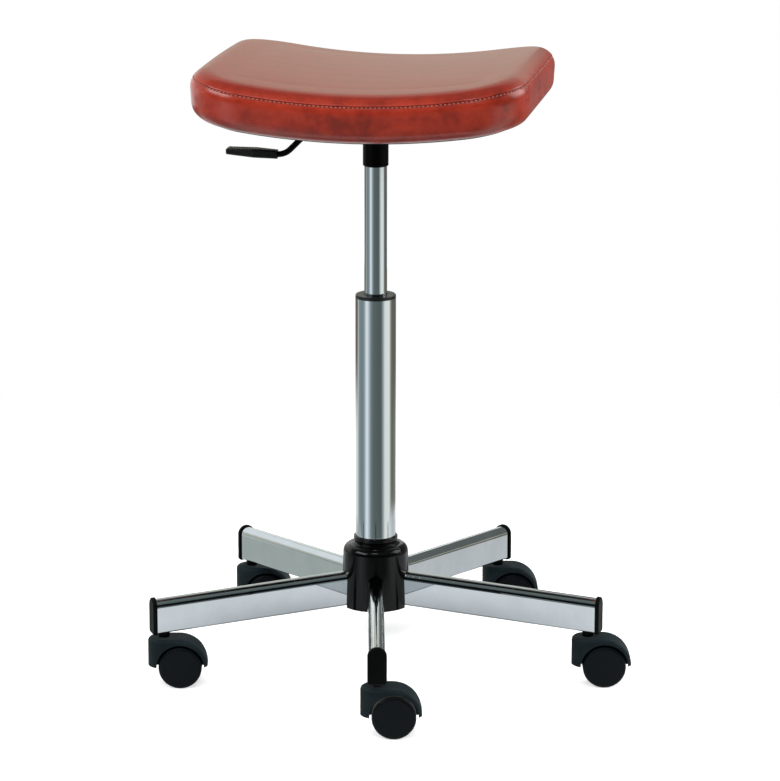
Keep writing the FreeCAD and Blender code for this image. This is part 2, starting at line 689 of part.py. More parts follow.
def lever_grip():
    # paddle that grows wide and thin to its end, grooved across the top
    made = body("lever_grip")
    root_low = "dims.grip_level - dims.grip_root_high / 2"
    root = grip_section(made, "root", "dims.grip_start", "dims.grip_root_wide",
                        root_low, "dims.grip_level + dims.grip_root_high / 2")
    waist = grip_section(made, "waist", "dims.grip_waist", "dims.grip_wide",
                         "dims.grip_top - dims.grip_waist_high", "dims.grip_top")
    tip = grip_section(made, "tip", "dims.grip_end", "dims.grip_wide",
                       "dims.grip_top - dims.grip_tip_high", "dims.grip_top")
    paddle = made.newObject("PartDesign::AdditiveLoft", "lever_grip_paddle")
    paddle.Profile = root
    paddle.Sections = [waist, tip]
    paddle.Ruled = True
    doc.recompute()
    end = min(paddle.Shape.Faces, key=lambda face: face.CenterOfMass.x)
    round_edges(made, paddle, "dims.grip_tip_round", on_face(end))
    socket = sketch(made, "YZ_Plane", "socket", along="-dims.grip_start")
    circle(socket, "0", "dims.grip_level", "dims.lever_dia / 2 + dims.seat_gap")
    pocket(made, socket, "dims.grip_hole")
    rib = sketch(made, "XZ_Plane", "rib")
    circle(rib, "dims.rib_margin - dims.grip_end", "dims.grip_top + dims.rib_groove - dims.rib_depth",
           "dims.rib_groove")
    groove = pocket(made, rib, "2 * dims.grip_wide", symmetric=True)
    ribs = made.newObject("PartDesign::LinearPattern", "lever_grip_ribs")
    ribs.Originals = [groove]
    ribs.Direction = (origin(made, "X_Axis"), [""])
    ribs.setExpression("Length", "(dims.grip_ribs - 1) * dims.rib_pitch")
    ribs.setExpression("Occurrences", "dims.grip_ribs")
    made.Tip = ribs
    node(made, "lever_grip")


def release_pin():
    shank = "dims.valve_dia / 2 - dims.running_gap"
    top = "dims.lever_level - dims.lever_dia / 2 - dims.lever_gap"
    node(turned("release_pin", [
        ("0", "dims.pin_foot"), (shank, "dims.pin_foot"), (shank, top), ("0", top),
    ]), "release_pin")


# Gas spring and swivel bearing
def gas_cylinder():
    bore = "dims.cylinder_bore / 2"
    valve = "dims.valve_dia / 2"
    node(turned("gas_cylinder", [
        (bore, "dims.cylinder_foot"),
        ("dims.cylinder_dia / 2", "dims.cylinder_foot"),
        ("dims.cylinder_dia / 2", "dims.socket_foot"),
        ("dims.cylinder_tip_dia / 2", "dims.cylinder_top"),
        (valve, "dims.cylinder_top"),
        (valve, "dims.valve_foot"),
        ("0", "dims.valve_foot"),
        ("0", "dims.bore_top"),
        (bore, "dims.bore_top"),
    ]), "gas_cylinder")


def rod_guide():
    low = "dims.cylinder_foot + dims.guide_recess"
    bore = "dims.rod_dia / 2 + dims.running_gap"
    outside = "dims.cylinder_bore / 2 - dims.seat_gap"
    node(ring("rod_guide", bore, outside, low, low + " + dims.guide_high"), "rod_guide")


def piston_rod():
    tail = "dims.rod_tail_dia / 2"
    rod = "dims.rod_dia / 2"
    spigot = "dims.spigot_dia / 2"
    end = "dims.piston_foot + dims.piston_high"
    node(turned("piston_rod", [
        ("0", "dims.rod_foot"), (tail, "dims.rod_foot"),
        (tail, "dims.rod_shoulder"), (rod, "dims.rod_shoulder"),
        (rod, "dims.piston_foot"), (spigot, "dims.piston_foot"),
        (spigot, end), ("0", end),
    ]), "piston_rod")
    node(ring("piston", spigot + " + dims.seat_gap", "dims.cylinder_bore / 2 - dims.running_gap",
              "dims.piston_foot", end), "piston")


def swivel_bearing():
    floor = "dims.tube_foot + dims.tube_floor"
    lower_top = floor + " + dims.race_thick"
    upper_foot = lower_top + " + dims.ball_space"
    middle = lower_top + " + dims.ball_space / 2"
    race = "dims.race_dia / 2"
    tail = "dims.rod_tail_dia / 2"
    node(ring("bearing_lower_race", tail + " + dims.race_play", race, floor, lower_top),
         "bearing_lower_race")
    node(ring("bearing_upper_race", tail + " + dims.seat_gap", race, upper_foot, "dims.rod_shoulder"),
         "bearing_upper_race")
    count = int(number("dims.ball_count"))
    balls = []
    for index in range(count):
        ball = doc.addObject("Part::Sphere", "ball")
        ball.setExpression("Radius", "dims.ball_dia / 2")
        angle = 2 * math.pi * index / count
        circle_radius = number("dims.ball_circle / 2")
        moved(ball, circle_radius * math.cos(angle), circle_radius * math.sin(angle), number(middle))
        balls.append(ball)
    group("bearing_balls", balls)
    cage_inner = "(dims.ball_circle - dims.cage_wide) / 2"
    cage = ring("bearing_cage", cage_inner, cage_inner + " + dims.cage_wide",
                middle + " - dims.cage_thick / 2", middle + " + dims.cage_thick / 2")
    hole = sketch(cage, "XY_Plane", "hole", along=middle + " + dims.cage_thick")
    circle(hole, "dims.ball_circle / 2", "0", "dims.ball_dia / 2 + dims.cage_play")
    first = pocket(cage, hole, "2 * dims.cage_thick")
    holes = cage.newObject("PartDesign::PolarPattern", "bearing_cage_holes")
    holes.Originals = [first]
    holes.Axis = (origin(cage, "Z_Axis"), [""])
    holes.Angle = 360
    holes.setExpression("Occurrences", "dims.ball_count")
    cage.Tip = holes
    node(cage, "bearing_cage")
    node(ring("rubber_buffer", "dims.rod_dia / 2 + dims.seat_gap", "dims.buffer_dia / 2",
              "dims.rod_shoulder", "dims.rod_shoulder + dims.buffer_high"), "rubber_buffer")
    clip_top = "dims.tube_foot - dims.clip_play"
    clip = ring("rod_clip", tail + " + dims.seat_gap", "dims.clip_dia / 2",
                clip_top + " - dims.clip_thick", clip_top)
    mouth = sketch(clip, "XY_Plane", "mouth", along=clip_top)
    rectangle(mouth, "0", "dims.clip_dia", "-dims.clip_mouth / 2", "dims.clip_mouth / 2")
    pocket(clip, mouth, "2 * dims.clip_thick")
    node(clip, "rod_clip")


# Column tube and hub
def outer_tube():
    outer = "dims.tube_dia / 2"
    tip = "dims.tube_tip_dia / 2"
    hole = "dims.rod_tail_dia / 2 + dims.tail_play"
    node(turned("outer_tube", [
        (hole, "dims.tube_foot"),
        (tip, "dims.tube_foot"),
        (outer, "dims.taper_top"),
        (outer, "dims.tube_top"),
        (outer + " - dims.tube_wall", "dims.tube_top"),
        (outer + " - dims.tube_wall", "dims.taper_top"),
        (tip + " - dims.tube_wall", "dims.tube_foot + dims.tube_floor"),
        (hole, "dims.tube_foot + dims.tube_floor"),
    ]), "outer_tube")


def guide_sleeve():
    bore = "dims.cylinder_dia / 2 + dims.running_gap"
    shank = "dims.tube_dia / 2 - dims.tube_wall - dims.seat_gap"
    lip = "dims.tube_dia / 2 - dims.lip_inset"
    top = "dims.tube_top + dims.lip_high"
    node(turned("guide_sleeve", [
        (bore, "dims.sleeve_foot"), (shank, "dims.sleeve_foot"),
        (shank, "dims.tube_top"), (lip, "dims.tube_top"),
        (lip, top + " - dims.lip_bevel"), (lip + " - dims.lip_bevel", top),
        (bore + " + dims.lip_bevel", top), (bore, top + " - dims.lip_bevel"),
    ]), "guide_sleeve")


def hub_core():
    # the bore follows the column's taper
    slope = "(dims.tube_dia - dims.tube_tip_dia) / 2 / (dims.taper_top - dims.tube_foot)"
    bore = "dims.tube_tip_dia / 2 + dims.seat_gap + (%s - dims.tube_foot) * " + slope
    node(turned("hub_core", [
        (bore % "dims.core_foot", "dims.core_foot"), ("dims.core_dia / 2", "dims.core_foot"),
        ("dims.core_dia / 2", "dims.core_top"), (bore % "dims.core_top", "dims.core_top"),
    ]), "hub_core")


arm_round = "dims.arm_foot + dims.arm_high - dims.arm_width / 2"
first_arm = number("dims.base_turn - 90")
arm_count = int(number("dims.arm_count"))
arm_angles = [first_arm + 360 * index / arm_count for index in range(arm_count)]


def hub_cover():
    # moulded cup with a rounded shoulder and a collar, slotted for the arms
    outer = "dims.hub_dia / 2"
    inner = outer + " - dims.hub_wall"
    foot = "dims.hub_foot_dia / 2"
    shoulder_top = "dims.hub_shoulder + dims.shoulder_round"
    collar = "dims.collar_dia / 2"
    bore = "dims.tube_dia / 2 + dims.collar_fit"
    made = turned("hub_cover", [
        (foot + " - dims.hub_wall", "dims.hub_foot"),
        (foot, "dims.hub_foot"),
        (outer, "dims.hub_shoulder"),
        (outer + " - dims.shoulder_round", shoulder_top, "dims.shoulder_round", 1),
        ("dims.neck_dia / 2", "dims.neck_level"),
        (collar, "dims.collar_foot"),
        (collar, "dims.collar_top - dims.collar_round"),
        (collar + " - dims.collar_round", "dims.collar_top", "dims.collar_round", 1),
        (bore, "dims.collar_top"),
        (bore, shoulder_top + " - dims.hub_wall"),
        (outer + " - dims.shoulder_round", shoulder_top + " - dims.hub_wall"),
        (inner, "dims.hub_shoulder", "dims.shoulder_round - dims.hub_wall", -1),
    ])
    half = "(dims.arm_width / 2 + dims.slot_play)"
    below = "dims.hub_foot - dims.hub_wall"
    crown = arm_round + " + (dims.arm_reach - dims.hub_dia / 2 + dims.hub_wall) * tan(dims.arm_rise)"
    slot = sketch(made, "YZ_Plane", "slot")
    outline(slot, [
        ("-" + half, below), (half, below), (half, crown),
        ("0", "%s + %s" % (crown, half), half, 1), ("-" + half, crown, half, 1),
    ])
    first = pocket(made, slot, "dims.hub_dia", forward=True)
    slots = made.newObject("PartDesign::PolarPattern", "hub_cover_slots")
    slots.Originals = [first]
    slots.Axis = (origin(made, "Z_Axis"), [""])
    slots.Angle = 360
    slots.setExpression("Occurrences", "dims.arm_count")
    made.Tip = slots
    node(moved(made, 0, 0, 0, first_arm), "hub_cover")


# Arms, each along its own +X
def arm_section(profile, grow):
    # flat foot, round top, drawn larger or smaller by grow
    half = "(dims.arm_width / 2 + %s)" % grow
    edge = "(dims.arm_edge + %s)" % grow
    foot = "(dims.arm_foot - (%s))" % grow
    outline(profile, [
        ("%s - %s" % (half, edge), foot), (half, "%s + %s" % (foot, edge), edge, 1),
        (half, arm_round), ("0", "%s + %s" % (arm_round, half), half, 1),
        ("-" + half, arm_round, half, 1), ("-" + half, "%s + %s" % (foot, edge)),
        ("-%s + %s" % (half, edge), foot, edge, 1),
    ])


def arm(label, angle):
    made = body(label)
    profile = sketch(made, "YZ_Plane", "profile", along="dims.arm_reach")
    arm_section(profile, "0")
    arm_section(profile, "(-dims.arm_wall)")
    climb(pad(made, profile, "dims.arm_reach - dims.arm_root", backward=True), "dims.arm_rise")
    cope = sketch(made, "XY_Plane", "cope", along="dims.arm_foot - dims.arm_wall")
    circle(cope, "0", "0", "dims.core_dia / 2 + dims.seat_gap")
    pocket(made, cope, "2 * dims.arm_high", forward=True)
    eye = sketch(made, "XY_Plane", "eye", along="dims.arm_foot + 2 * dims.arm_wall")
    circle(eye, "dims.stem_reach", "0", "dims.bush_dia / 2 + dims.seat_gap")
    pocket(made, eye, "4 * dims.arm_wall")
    node(moved(made, 0, 0, 0, angle), label)


def end_cap(label, angle):
    made = body(label)
    flange = sketch(made, "YZ_Plane", "flange", along="dims.arm_reach")
    arm_section(flange, "dims.cap_lip")
    face = pad(made, flange, "dims.cap_thick")
    doc.recompute()
    outside = max(face.Shape.Faces, key=lambda item: item.CenterOfMass.x)
    round_edges(made, face, "dims.cap_round", on_face(outside))
    plug = sketch(made, "YZ_Plane", "plug", along="dims.arm_reach")
    arm_section(plug, "(-dims.arm_wall - dims.plug_play)")
    climb(pad(made, plug, "dims.plug_length", backward=True), "dims.arm_rise")
    bore = sketch(made, "XY_Plane", "bore", along="dims.arm_foot")
    circle(bore, "dims.stem_reach", "0", "dims.bush_dia / 2 + dims.seat_gap")
    pocket(made, bore, "dims.bush_top - dims.arm_foot", forward=True)
    node(moved(made, 0, 0, 0, angle), label)


# Casters, each about its own stem, trailing along its own +X
def stem_place(angle):
    reach = number("dims.stem_reach")
    across = math.radians(angle)
    return reach * math.cos(across), reach * math.sin(across), 0


def at_stems(label, maker):
    members = []
    for index, angle in enumerate(arm_angles, 1):
        members.append(moved(maker("%s_%d" % (label, index)), *stem_place(angle)))
    group(label, members)


def stem_bush(label):
    return ring(label, "dims.stem_dia / 2 + dims.seat_gap", "dims.bush_dia / 2",
                "dims.arm_foot", "dims.bush_top")


def caster_stem(label):
    shank = "dims.stem_dia / 2"
    neck = "dims.stem_collar / 2"
    collar_foot = "dims.hood_top + dims.stem_play"
    return turned(label, [
        ("0", "dims.stem_foot"), (shank + " - dims.stem_tip", "dims.stem_foot"),
        (shank, "dims.stem_foot + dims.stem_tip"), (shank, collar_foot),
        (neck, collar_foot), (neck, "dims.arm_foot"), (shank, "dims.arm_foot"),
        (shank, "dims.stem_top - dims.stem_tip"), (shank + " - dims.stem_tip", "dims.stem_top"),
        ("0", "dims.stem_top"),
    ])


def caster_hood(label, spot):
    # round barrel at the stem, fender over the wheels, web with the axle between them
    made = body(label)
    half = "dims.hood_width / 2"
    corner = "dims.hood_rear_corner"
    blank_rear = "(dims.hood_rear + dims.hood_trim)"
    rear_side = "(dims.hood_rear + dims.hood_trim - dims.hood_rear_corner)"
    rear_back = "(dims.hood_width / 2 - dims.hood_rear_corner)"
    plan = sketch(made, "XY_Plane", "plan", along="dims.axle_level")
    outline(plan, [
        ("0", "-" + half, half, 1), (rear_side, "-" + half),
        (blank_rear, "-" + rear_back, corner, 1), (blank_rear, rear_back),
        (rear_side, half, corner, 1), ("0", half), ("-" + half, "0", half, 1),
    ])
    pad(made, plan, "dims.hood_top - dims.axle_level")
    bow_start = "(dims.hood_rear - dims.hood_bow)"
    past = blank_rear + " + dims.spare"
    above = "dims.hood_top + dims.hood_edge"
    below = "dims.axle_level - dims.hood_edge"
    fender = sketch(made, "XZ_Plane", "fender")
    outline(fender, [
        (bow_start, "dims.hood_top"), ("dims.hood_rear", "dims.axle_level", "dims.hood_bow", -1),
        ("dims.hood_rear", below), (past, below), (past, above), (bow_start, above),
    ])
    shell = pocket(made, fender, "2 * dims.hood_width", symmetric=True)
    doc.recompute()
    # the top and the fender are the two highest faces, their outer edges are rounded
    crest = sorted(shell.Shape.Faces, key=lambda face: face.CenterOfMass.z)[-2:]
    foot = number("dims.axle_level + dims.hood_edge")
    round_edges(made, shell, "dims.hood_edge", lambda edge: edge.CenterOfMass.z > foot and
                sum(on_face(face)(edge) for face in crest) == 1)
    arch = sketch(made, "XZ_Plane", "arch")
    circle(arch, "dims.trail", "dims.axle_level", "dims.arch_radius")
    pocket(made, arch, "2 * dims.hood_width", symmetric=True)
    reach = "(dims.arch_radius + dims.web_lap)"
    web = sketch(made, "XZ_Plane", "web")
    outline(web, [
        ("dims.trail - " + reach, "dims.axle_level"),
        ("dims.trail", "dims.axle_level + " + reach, reach, -1),
        ("dims.trail + " + reach, "dims.axle_level", reach, -1),
        ("dims.trail + dims.web_boss", "dims.axle_level"),
        ("dims.trail", "dims.axle_level - dims.web_boss", "dims.web_boss", -1),
        ("dims.trail - dims.web_boss", "dims.axle_level", "dims.web_boss", -1),
    ])
    pad(made, web, "dims.web_thick", symmetric=True)
    axle_hole = sketch(made, "XZ_Plane", "axle_hole")
    circle(axle_hole, "dims.trail", "dims.axle_level", "dims.axle_dia / 2 + dims.seat_gap")
    pocket(made, axle_hole, "2 * dims.web_thick", symmetric=True)
    stem_hole = sketch(made, "XY_Plane", "stem_hole", along="dims.hood_top + dims.stem_tip")
    circle(stem_hole, "0", "0", "dims.stem_dia / 2 + dims.running_gap")
    pocket(made, stem_hole, "dims.hood_top + dims.stem_tip - dims.stem_foot + dims.stem_play")
    made.Placement = spot
    node(made, label)


def caster_wheel(label, spot, side):
    # dished inside, plain outside, turned about its own axle
    rim = "dims.axle_level"
    rim_inner = "dims.axle_level - dims.wheel_rim"
    bore = "dims.axle_dia / 2 + dims.running_gap"
    hub = "dims.wheel_hub / 2"
    made = turned(label, [
        (bore, "0"), (hub, "0"), (hub, "dims.wheel_dish"), (rim_inner, "dims.wheel_dish"), (rim_inner, "0"),
        (rim + " - dims.wheel_bevel", "0"), (rim, "dims.wheel_bevel"),
        (rim, "dims.wheel_wide - dims.wheel_round"),
        (rim + " - dims.wheel_round", "dims.wheel_wide", "dims.wheel_round", 1),
        ("0", "dims.wheel_wide"), ("0", "dims.wheel_blind"), (bore, "dims.wheel_blind"),
    ])
    hub_place = Vector(number("dims.trail"), side * number("dims.wheel_inner"), number("dims.axle_level"))
    facing = FreeCAD.Rotation(Vector(1, 0, 0), -90 * side)
    made.Placement = spot.multiply(FreeCAD.Placement(hub_place, facing))
    node(made, label)


def caster_axle(label, spot):
    made = doc.addObject("Part::Cylinder", label)
    made.setExpression("Radius", "dims.axle_dia / 2")
    made.setExpression("Height", "dims.axle_length")
    end = Vector(number("dims.trail"), number("dims.axle_length / 2"), number("dims.axle_level"))
    made.Placement = spot.multiply(FreeCAD.Placement(end, FreeCAD.Rotation(Vector(1, 0, 0), 90)))
    node(made, label)


seat_cushion()
seat_board()
underside_cover()
group("tee_nuts", at_bolts("tee_nut", tee_nut))
spacer_pads()
group("plate_bolts", at_bolts("plate_bolt", plate_bolt))
mechanism_box()
taper_socket()
pivot_bracket()
pivot_pin()
release_lever()
lever_grip()
release_pin()
gas_cylinder()
rod_guide()
piston_rod()
swivel_bearing()
outer_tube()
guide_sleeve()
hub_core()
hub_cover()
at_stems("stem_sockets", stem_bush)
at_stems("caster_stems", caster_stem)
for index, angle in enumerate(arm_angles, 1):
    arm("arm_%d" % index, angle)
    end_cap("end_cap_%d" % index, angle)
    turn = FreeCAD.Rotation(Vector(0, 0, 1), number("dims.caster_turn"))
    spot = FreeCAD.Placement(Vector(*stem_place(angle)), turn)
    caster_hood("caster_%d_hood" % index, spot)
    caster_axle("caster_%d_axle" % index, spot)
    caster_wheel("caster_%d_wheel_a" % index, spot, -1)
    caster_wheel("caster_%d_wheel_b" % index, spot, 1)

doc.recompute()
failed = [item.Label for item in doc.Objects if "Invalid" in item.State or "Error" in item.State]
failed += [item.Label for item in nodes if item.Shape.isNull() or not item.Shape.isValid()]
if failed:
    raise RuntimeError("failed: " + ", ".join(failed))

os.makedirs("parts", exist_ok=True)
for made in nodes:
    made.Shape.exportStep("parts/%s.step" % made.Label)
print("%d sub-parts written" % len(nodes))
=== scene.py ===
import math
import bpy
import numpy as np
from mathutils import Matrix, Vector
from mathutils.bvhtree import BVHTree
from mathutils.kdtree import KDTree


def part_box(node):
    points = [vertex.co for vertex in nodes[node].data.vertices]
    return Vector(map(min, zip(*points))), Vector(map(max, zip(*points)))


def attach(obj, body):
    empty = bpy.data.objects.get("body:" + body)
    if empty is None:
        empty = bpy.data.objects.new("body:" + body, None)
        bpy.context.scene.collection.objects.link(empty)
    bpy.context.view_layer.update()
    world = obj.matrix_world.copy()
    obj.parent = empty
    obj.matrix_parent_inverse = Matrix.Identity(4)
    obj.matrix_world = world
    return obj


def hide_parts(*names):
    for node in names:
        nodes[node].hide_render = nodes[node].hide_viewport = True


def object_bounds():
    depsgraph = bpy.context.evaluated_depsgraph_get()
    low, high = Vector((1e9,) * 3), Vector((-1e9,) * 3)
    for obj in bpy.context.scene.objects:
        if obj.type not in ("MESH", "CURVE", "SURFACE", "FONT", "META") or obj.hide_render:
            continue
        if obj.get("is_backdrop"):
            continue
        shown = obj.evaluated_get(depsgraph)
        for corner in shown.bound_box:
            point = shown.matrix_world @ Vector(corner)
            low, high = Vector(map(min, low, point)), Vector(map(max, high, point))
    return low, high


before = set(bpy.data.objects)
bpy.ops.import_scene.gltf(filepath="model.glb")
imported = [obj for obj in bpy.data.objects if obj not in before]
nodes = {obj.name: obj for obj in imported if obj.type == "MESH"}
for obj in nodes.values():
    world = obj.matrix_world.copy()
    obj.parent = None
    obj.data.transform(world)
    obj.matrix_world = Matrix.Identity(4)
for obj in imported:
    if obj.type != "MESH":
        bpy.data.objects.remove(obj)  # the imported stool, metres, +Z up, sitter faces -Y
cadLow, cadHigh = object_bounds()
scene = bpy.context.scene

# Camera
# solved from the floor marks of the casters and the column's ends in the photograph
camera = {
    "turn": 10.07,  # degrees from the sitter's front towards +X
    "away": 4.396,  # along the floor from the column
    "height": 1.450,
    "pitch": 14.13,  # degrees down
    "focalPx": 3665,
    "picturePx": (780, 781),
    "lensAxisPx": (375.7, 397.9),  # pixel that the lens axis meets
    "sensorMm": 36,
}


def addCamera(spec):
    width, height = spec["picturePx"]
    turn, pitch = math.radians(spec["turn"]), math.radians(spec["pitch"])
    data = bpy.data.cameras.new("photo_camera")
    data.sensor_fit = "HORIZONTAL"
    data.sensor_width = spec["sensorMm"]
    data.lens = spec["focalPx"] * spec["sensorMm"] / width
    data.shift_x = (width / 2 - spec["lensAxisPx"][0]) / width
    data.shift_y = (spec["lensAxisPx"][1] - height / 2) / width
    data.clip_end = 100
    obj = bpy.data.objects.new("photo_camera", data)
    scene.collection.objects.link(obj)
    obj.location = (math.sin(turn) * spec["away"], -math.cos(turn) * spec["away"], spec["height"])
    look = Vector((-math.sin(turn) * math.cos(pitch), math.cos(turn) * math.cos(pitch), -math.sin(pitch)))
    obj.rotation_euler = look.to_track_quat("-Z", "Y").to_euler()
    scene.camera = obj


addCamera(camera)
scene.view_settings.view_transform = "Standard"
print("camera: lens", round(scene.camera.data.lens, 2), "mm")


# Shader helpers
def linear(hexColour):
    # sRGB hex to the linear colour that the shaders take
    channels = [int(hexColour[i:i + 2], 16) / 255 for i in (1, 3, 5)]
    return [c / 12.92 if c <= 0.04045 else ((c + 0.055) / 1.055) ** 2.4 for c in channels] + [1.0]


def addNode(tree, kind, settings=None, inputs=None):
    # an input is a value, or a (node, output) pair to link from; stops fill a ramp with colours or levels
    node = tree.nodes.new(kind)
    for name, value in (settings or {}).items():
        if name == "stops":
            ramp = node.color_ramp.elements
            while len(ramp) < len(value):
                ramp.new(0.5)
            for stop, (place, colour) in zip(ramp, value):
                stop.position = place
            for stop, (place, colour) in zip(ramp, value):
                stop.color = linear(colour) if isinstance(colour, str) else (colour, colour, colour, 1)
        else:
            setattr(node, name, value)
    for name, value in (inputs or {}).items():
        if isinstance(value, tuple) and isinstance(value[0], bpy.types.Node):
            tree.links.new(value[0].outputs[value[1]], node.inputs[name])
        else:
            node.inputs[name].default_value = value
    return node


def newMaterial(name):
    made = bpy.data.materials.new(name)
    made.use_nodes = True
    made.node_tree.nodes.clear()
    return made, made.node_tree


def perMm(millimetres):
    # texture scale for a pattern that repeats every so many millimetres
    return 1000 / millimetres


# Studio: white paper, two soft boxes, a strip light, two low side lamps and a fill
# chrome mirrors tones of its own: the floor's sectors, the ceiling and three cards
studio = {
    "floorHalf": 20,
    "paperTone": "#E9E9E8",
    "paperLift": 0.52,
    "bounceTone": "#B4B4B2",  # less light comes back off the floor than its white would give
    "shadowReach": (0.45, 1.5),  # the shadow fades into plain white paper
    "skyLevel": 0.24,
    # the paper that metal sees round the column and how far it lies, by degrees from the camera's side
    "paper": [
        (-180, "#DDE1E3"), (-142, "#DDE1E3"), (-130, "#A9B2AC"), (-98, "#A9B2AC"), (-84, "#DDE1E3"),
        (98, "#DDE1E3"), (108, "#C6C9CA"), (126, "#C6C9CA"), (140, "#DDE1E3"), (180, "#DDE1E3"),
    ],
    "paperReach": [
        (-180, 0.60), (-98, 0.60), (-80, 0.44), (80, 0.44), (95, 0.68), (150, 0.68), (180, 0.60),
    ],
    "paperEdge": 0.10,
    # what it sees on the floor past that paper, by the same degrees, + is camera right
    "sectors": [
        (-180, "#E4E8E6"), (-130, "#E4E8E6"), (-106, "#8A9896"), (-84, "#7C8A8E"), (-68, "#93A0A8"),
        (-52, "#F6FCFF"), (-40, "#C9D2D6"), (-28, "#808C8C"), (-12, "#626C6A"), (30, "#586260"),
        (42, "#9AA29F"), (53, "#EBEFEC"), (82, "#F4F6EE"), (95, "#8E9284"), (106, "#6C6E62"),
        (145, "#848578"), (180, "#E4E8E6"),
    ],
    "roomGain": 1.4,
    "underSeat": (0.14, 0.36, 0.3),  # under the seat the paper lies in shadow: from, to, share left
    # metres out, by the same degrees, where the floor falls off into the dim end of the room
    "farReach": [
        (-180, 1.1), (-125, 1.1), (-105, 6.0), (34, 6.0), (44, 3.4), (92, 3.4), (115, 1.1), (180, 1.1),
    ],
    "farEdge": 0.6,
    "farTone": "#6E655E",
    # what it sees above the floor, degrees up from the back over the top to the camera's side
    "ceiling": [
        (0, "#DCDECE"), (44, "#DCDECE"), (50, "#FAFBFA"), (57, "#6E7876"), (80, "#76827F"),
        (120, "#727E7B"), (140, "#66706E"), (148, "#121515"), (180, "#101212"),
    ],
}
# side: degrees from the camera's side, rise: degrees up, away: metres, size: width and height,
# level: light on a face turned to it, shine: whether it shows in glossy surfaces
lamps = {
    "soft_box_left": {"side": -66, "rise": 40, "away": 2.6, "size": (1.9, 0.8), "level": 0.44,
                      "shine": True},
    "soft_box_right": {"side": 100, "rise": 32, "away": 2.6, "size": (1.4, 1.4), "level": 0.36,
                       "shine": True},
    "strip_front": {"side": -6, "rise": 58, "away": 2.6, "size": (0.7, 0.4), "level": 0.10,
                    "shine": True},
    "low_card_left": {"side": -112, "rise": 12, "away": 2.6, "size": (1.0, 1.0), "level": 0.30,
                      "shine": False},
    "low_card_right": {"side": 122, "rise": 6, "away": 2.6, "size": (1.0, 1.0), "level": 0.95,
                       "shine": False},
    "camera_fill": {"side": 6, "rise": 45, "away": 4.0, "size": (1.6, 1.6), "level": 0.43,
                    "shine": False},
}
# low cards behind the stool, seen only where it mirrors them: ends on the floor plan in metres
# to the camera's right and away from the camera, and heights
cards = {
    "white_card_back": {"ends": ((-0.45, 1.05), (0.26, 1.05)), "heights": (0.28, 0.56),
                        "tone": "#F4FAFB", "gain": 1.25},
    "white_card_left": {"ends": ((-1.6, 0.45), (-0.45, 1.05)), "heights": (0.46, 1.00),
                        "tone": "#F4FAFB", "gain": 1.25},
    "grey_flag_right": {"ends": ((0.28, 1.05), (1.6, 0.45)), "heights": (0.20, 0.95),
                        "tone": "#737876", "gain": 1.0},
}


def turnedAxes(tree, source):
    # x to the camera's right, y away from the camera
    turned = addNode(tree, "ShaderNodeVectorRotate", {"rotation_type": "Z_AXIS"},
                     {"Vector": source, "Angle": -math.radians(camera["turn"])})
    return addNode(tree, "ShaderNodeSeparateXYZ", {}, {"Vector": (turned, "Vector")})


def angleShare(tree, rise, run, lowest):
    # angle of rise over run as a share of the turn, for a ramp
    angle = addNode(tree, "ShaderNodeMath", {"operation": "ARCTAN2"}, {0: rise, 1: run})
    return addNode(tree, "ShaderNodeMapRange", {},
                   {"Value": (angle, "Value"), "From Min": math.radians(lowest), "From Max": math.pi})


def rampStops(stops, lowest):
    return [((degrees - lowest) / (180 - lowest), colour) for degrees, colour in stops]


def shownRays(tree, rays):
    # 1 for mirror and glass rays
    return addNode(tree, "ShaderNodeMath", {"operation": "MAXIMUM"},
                   {0: (rays, "Is Glossy Ray"), 1: (rays, "Is Transmission Ray")})


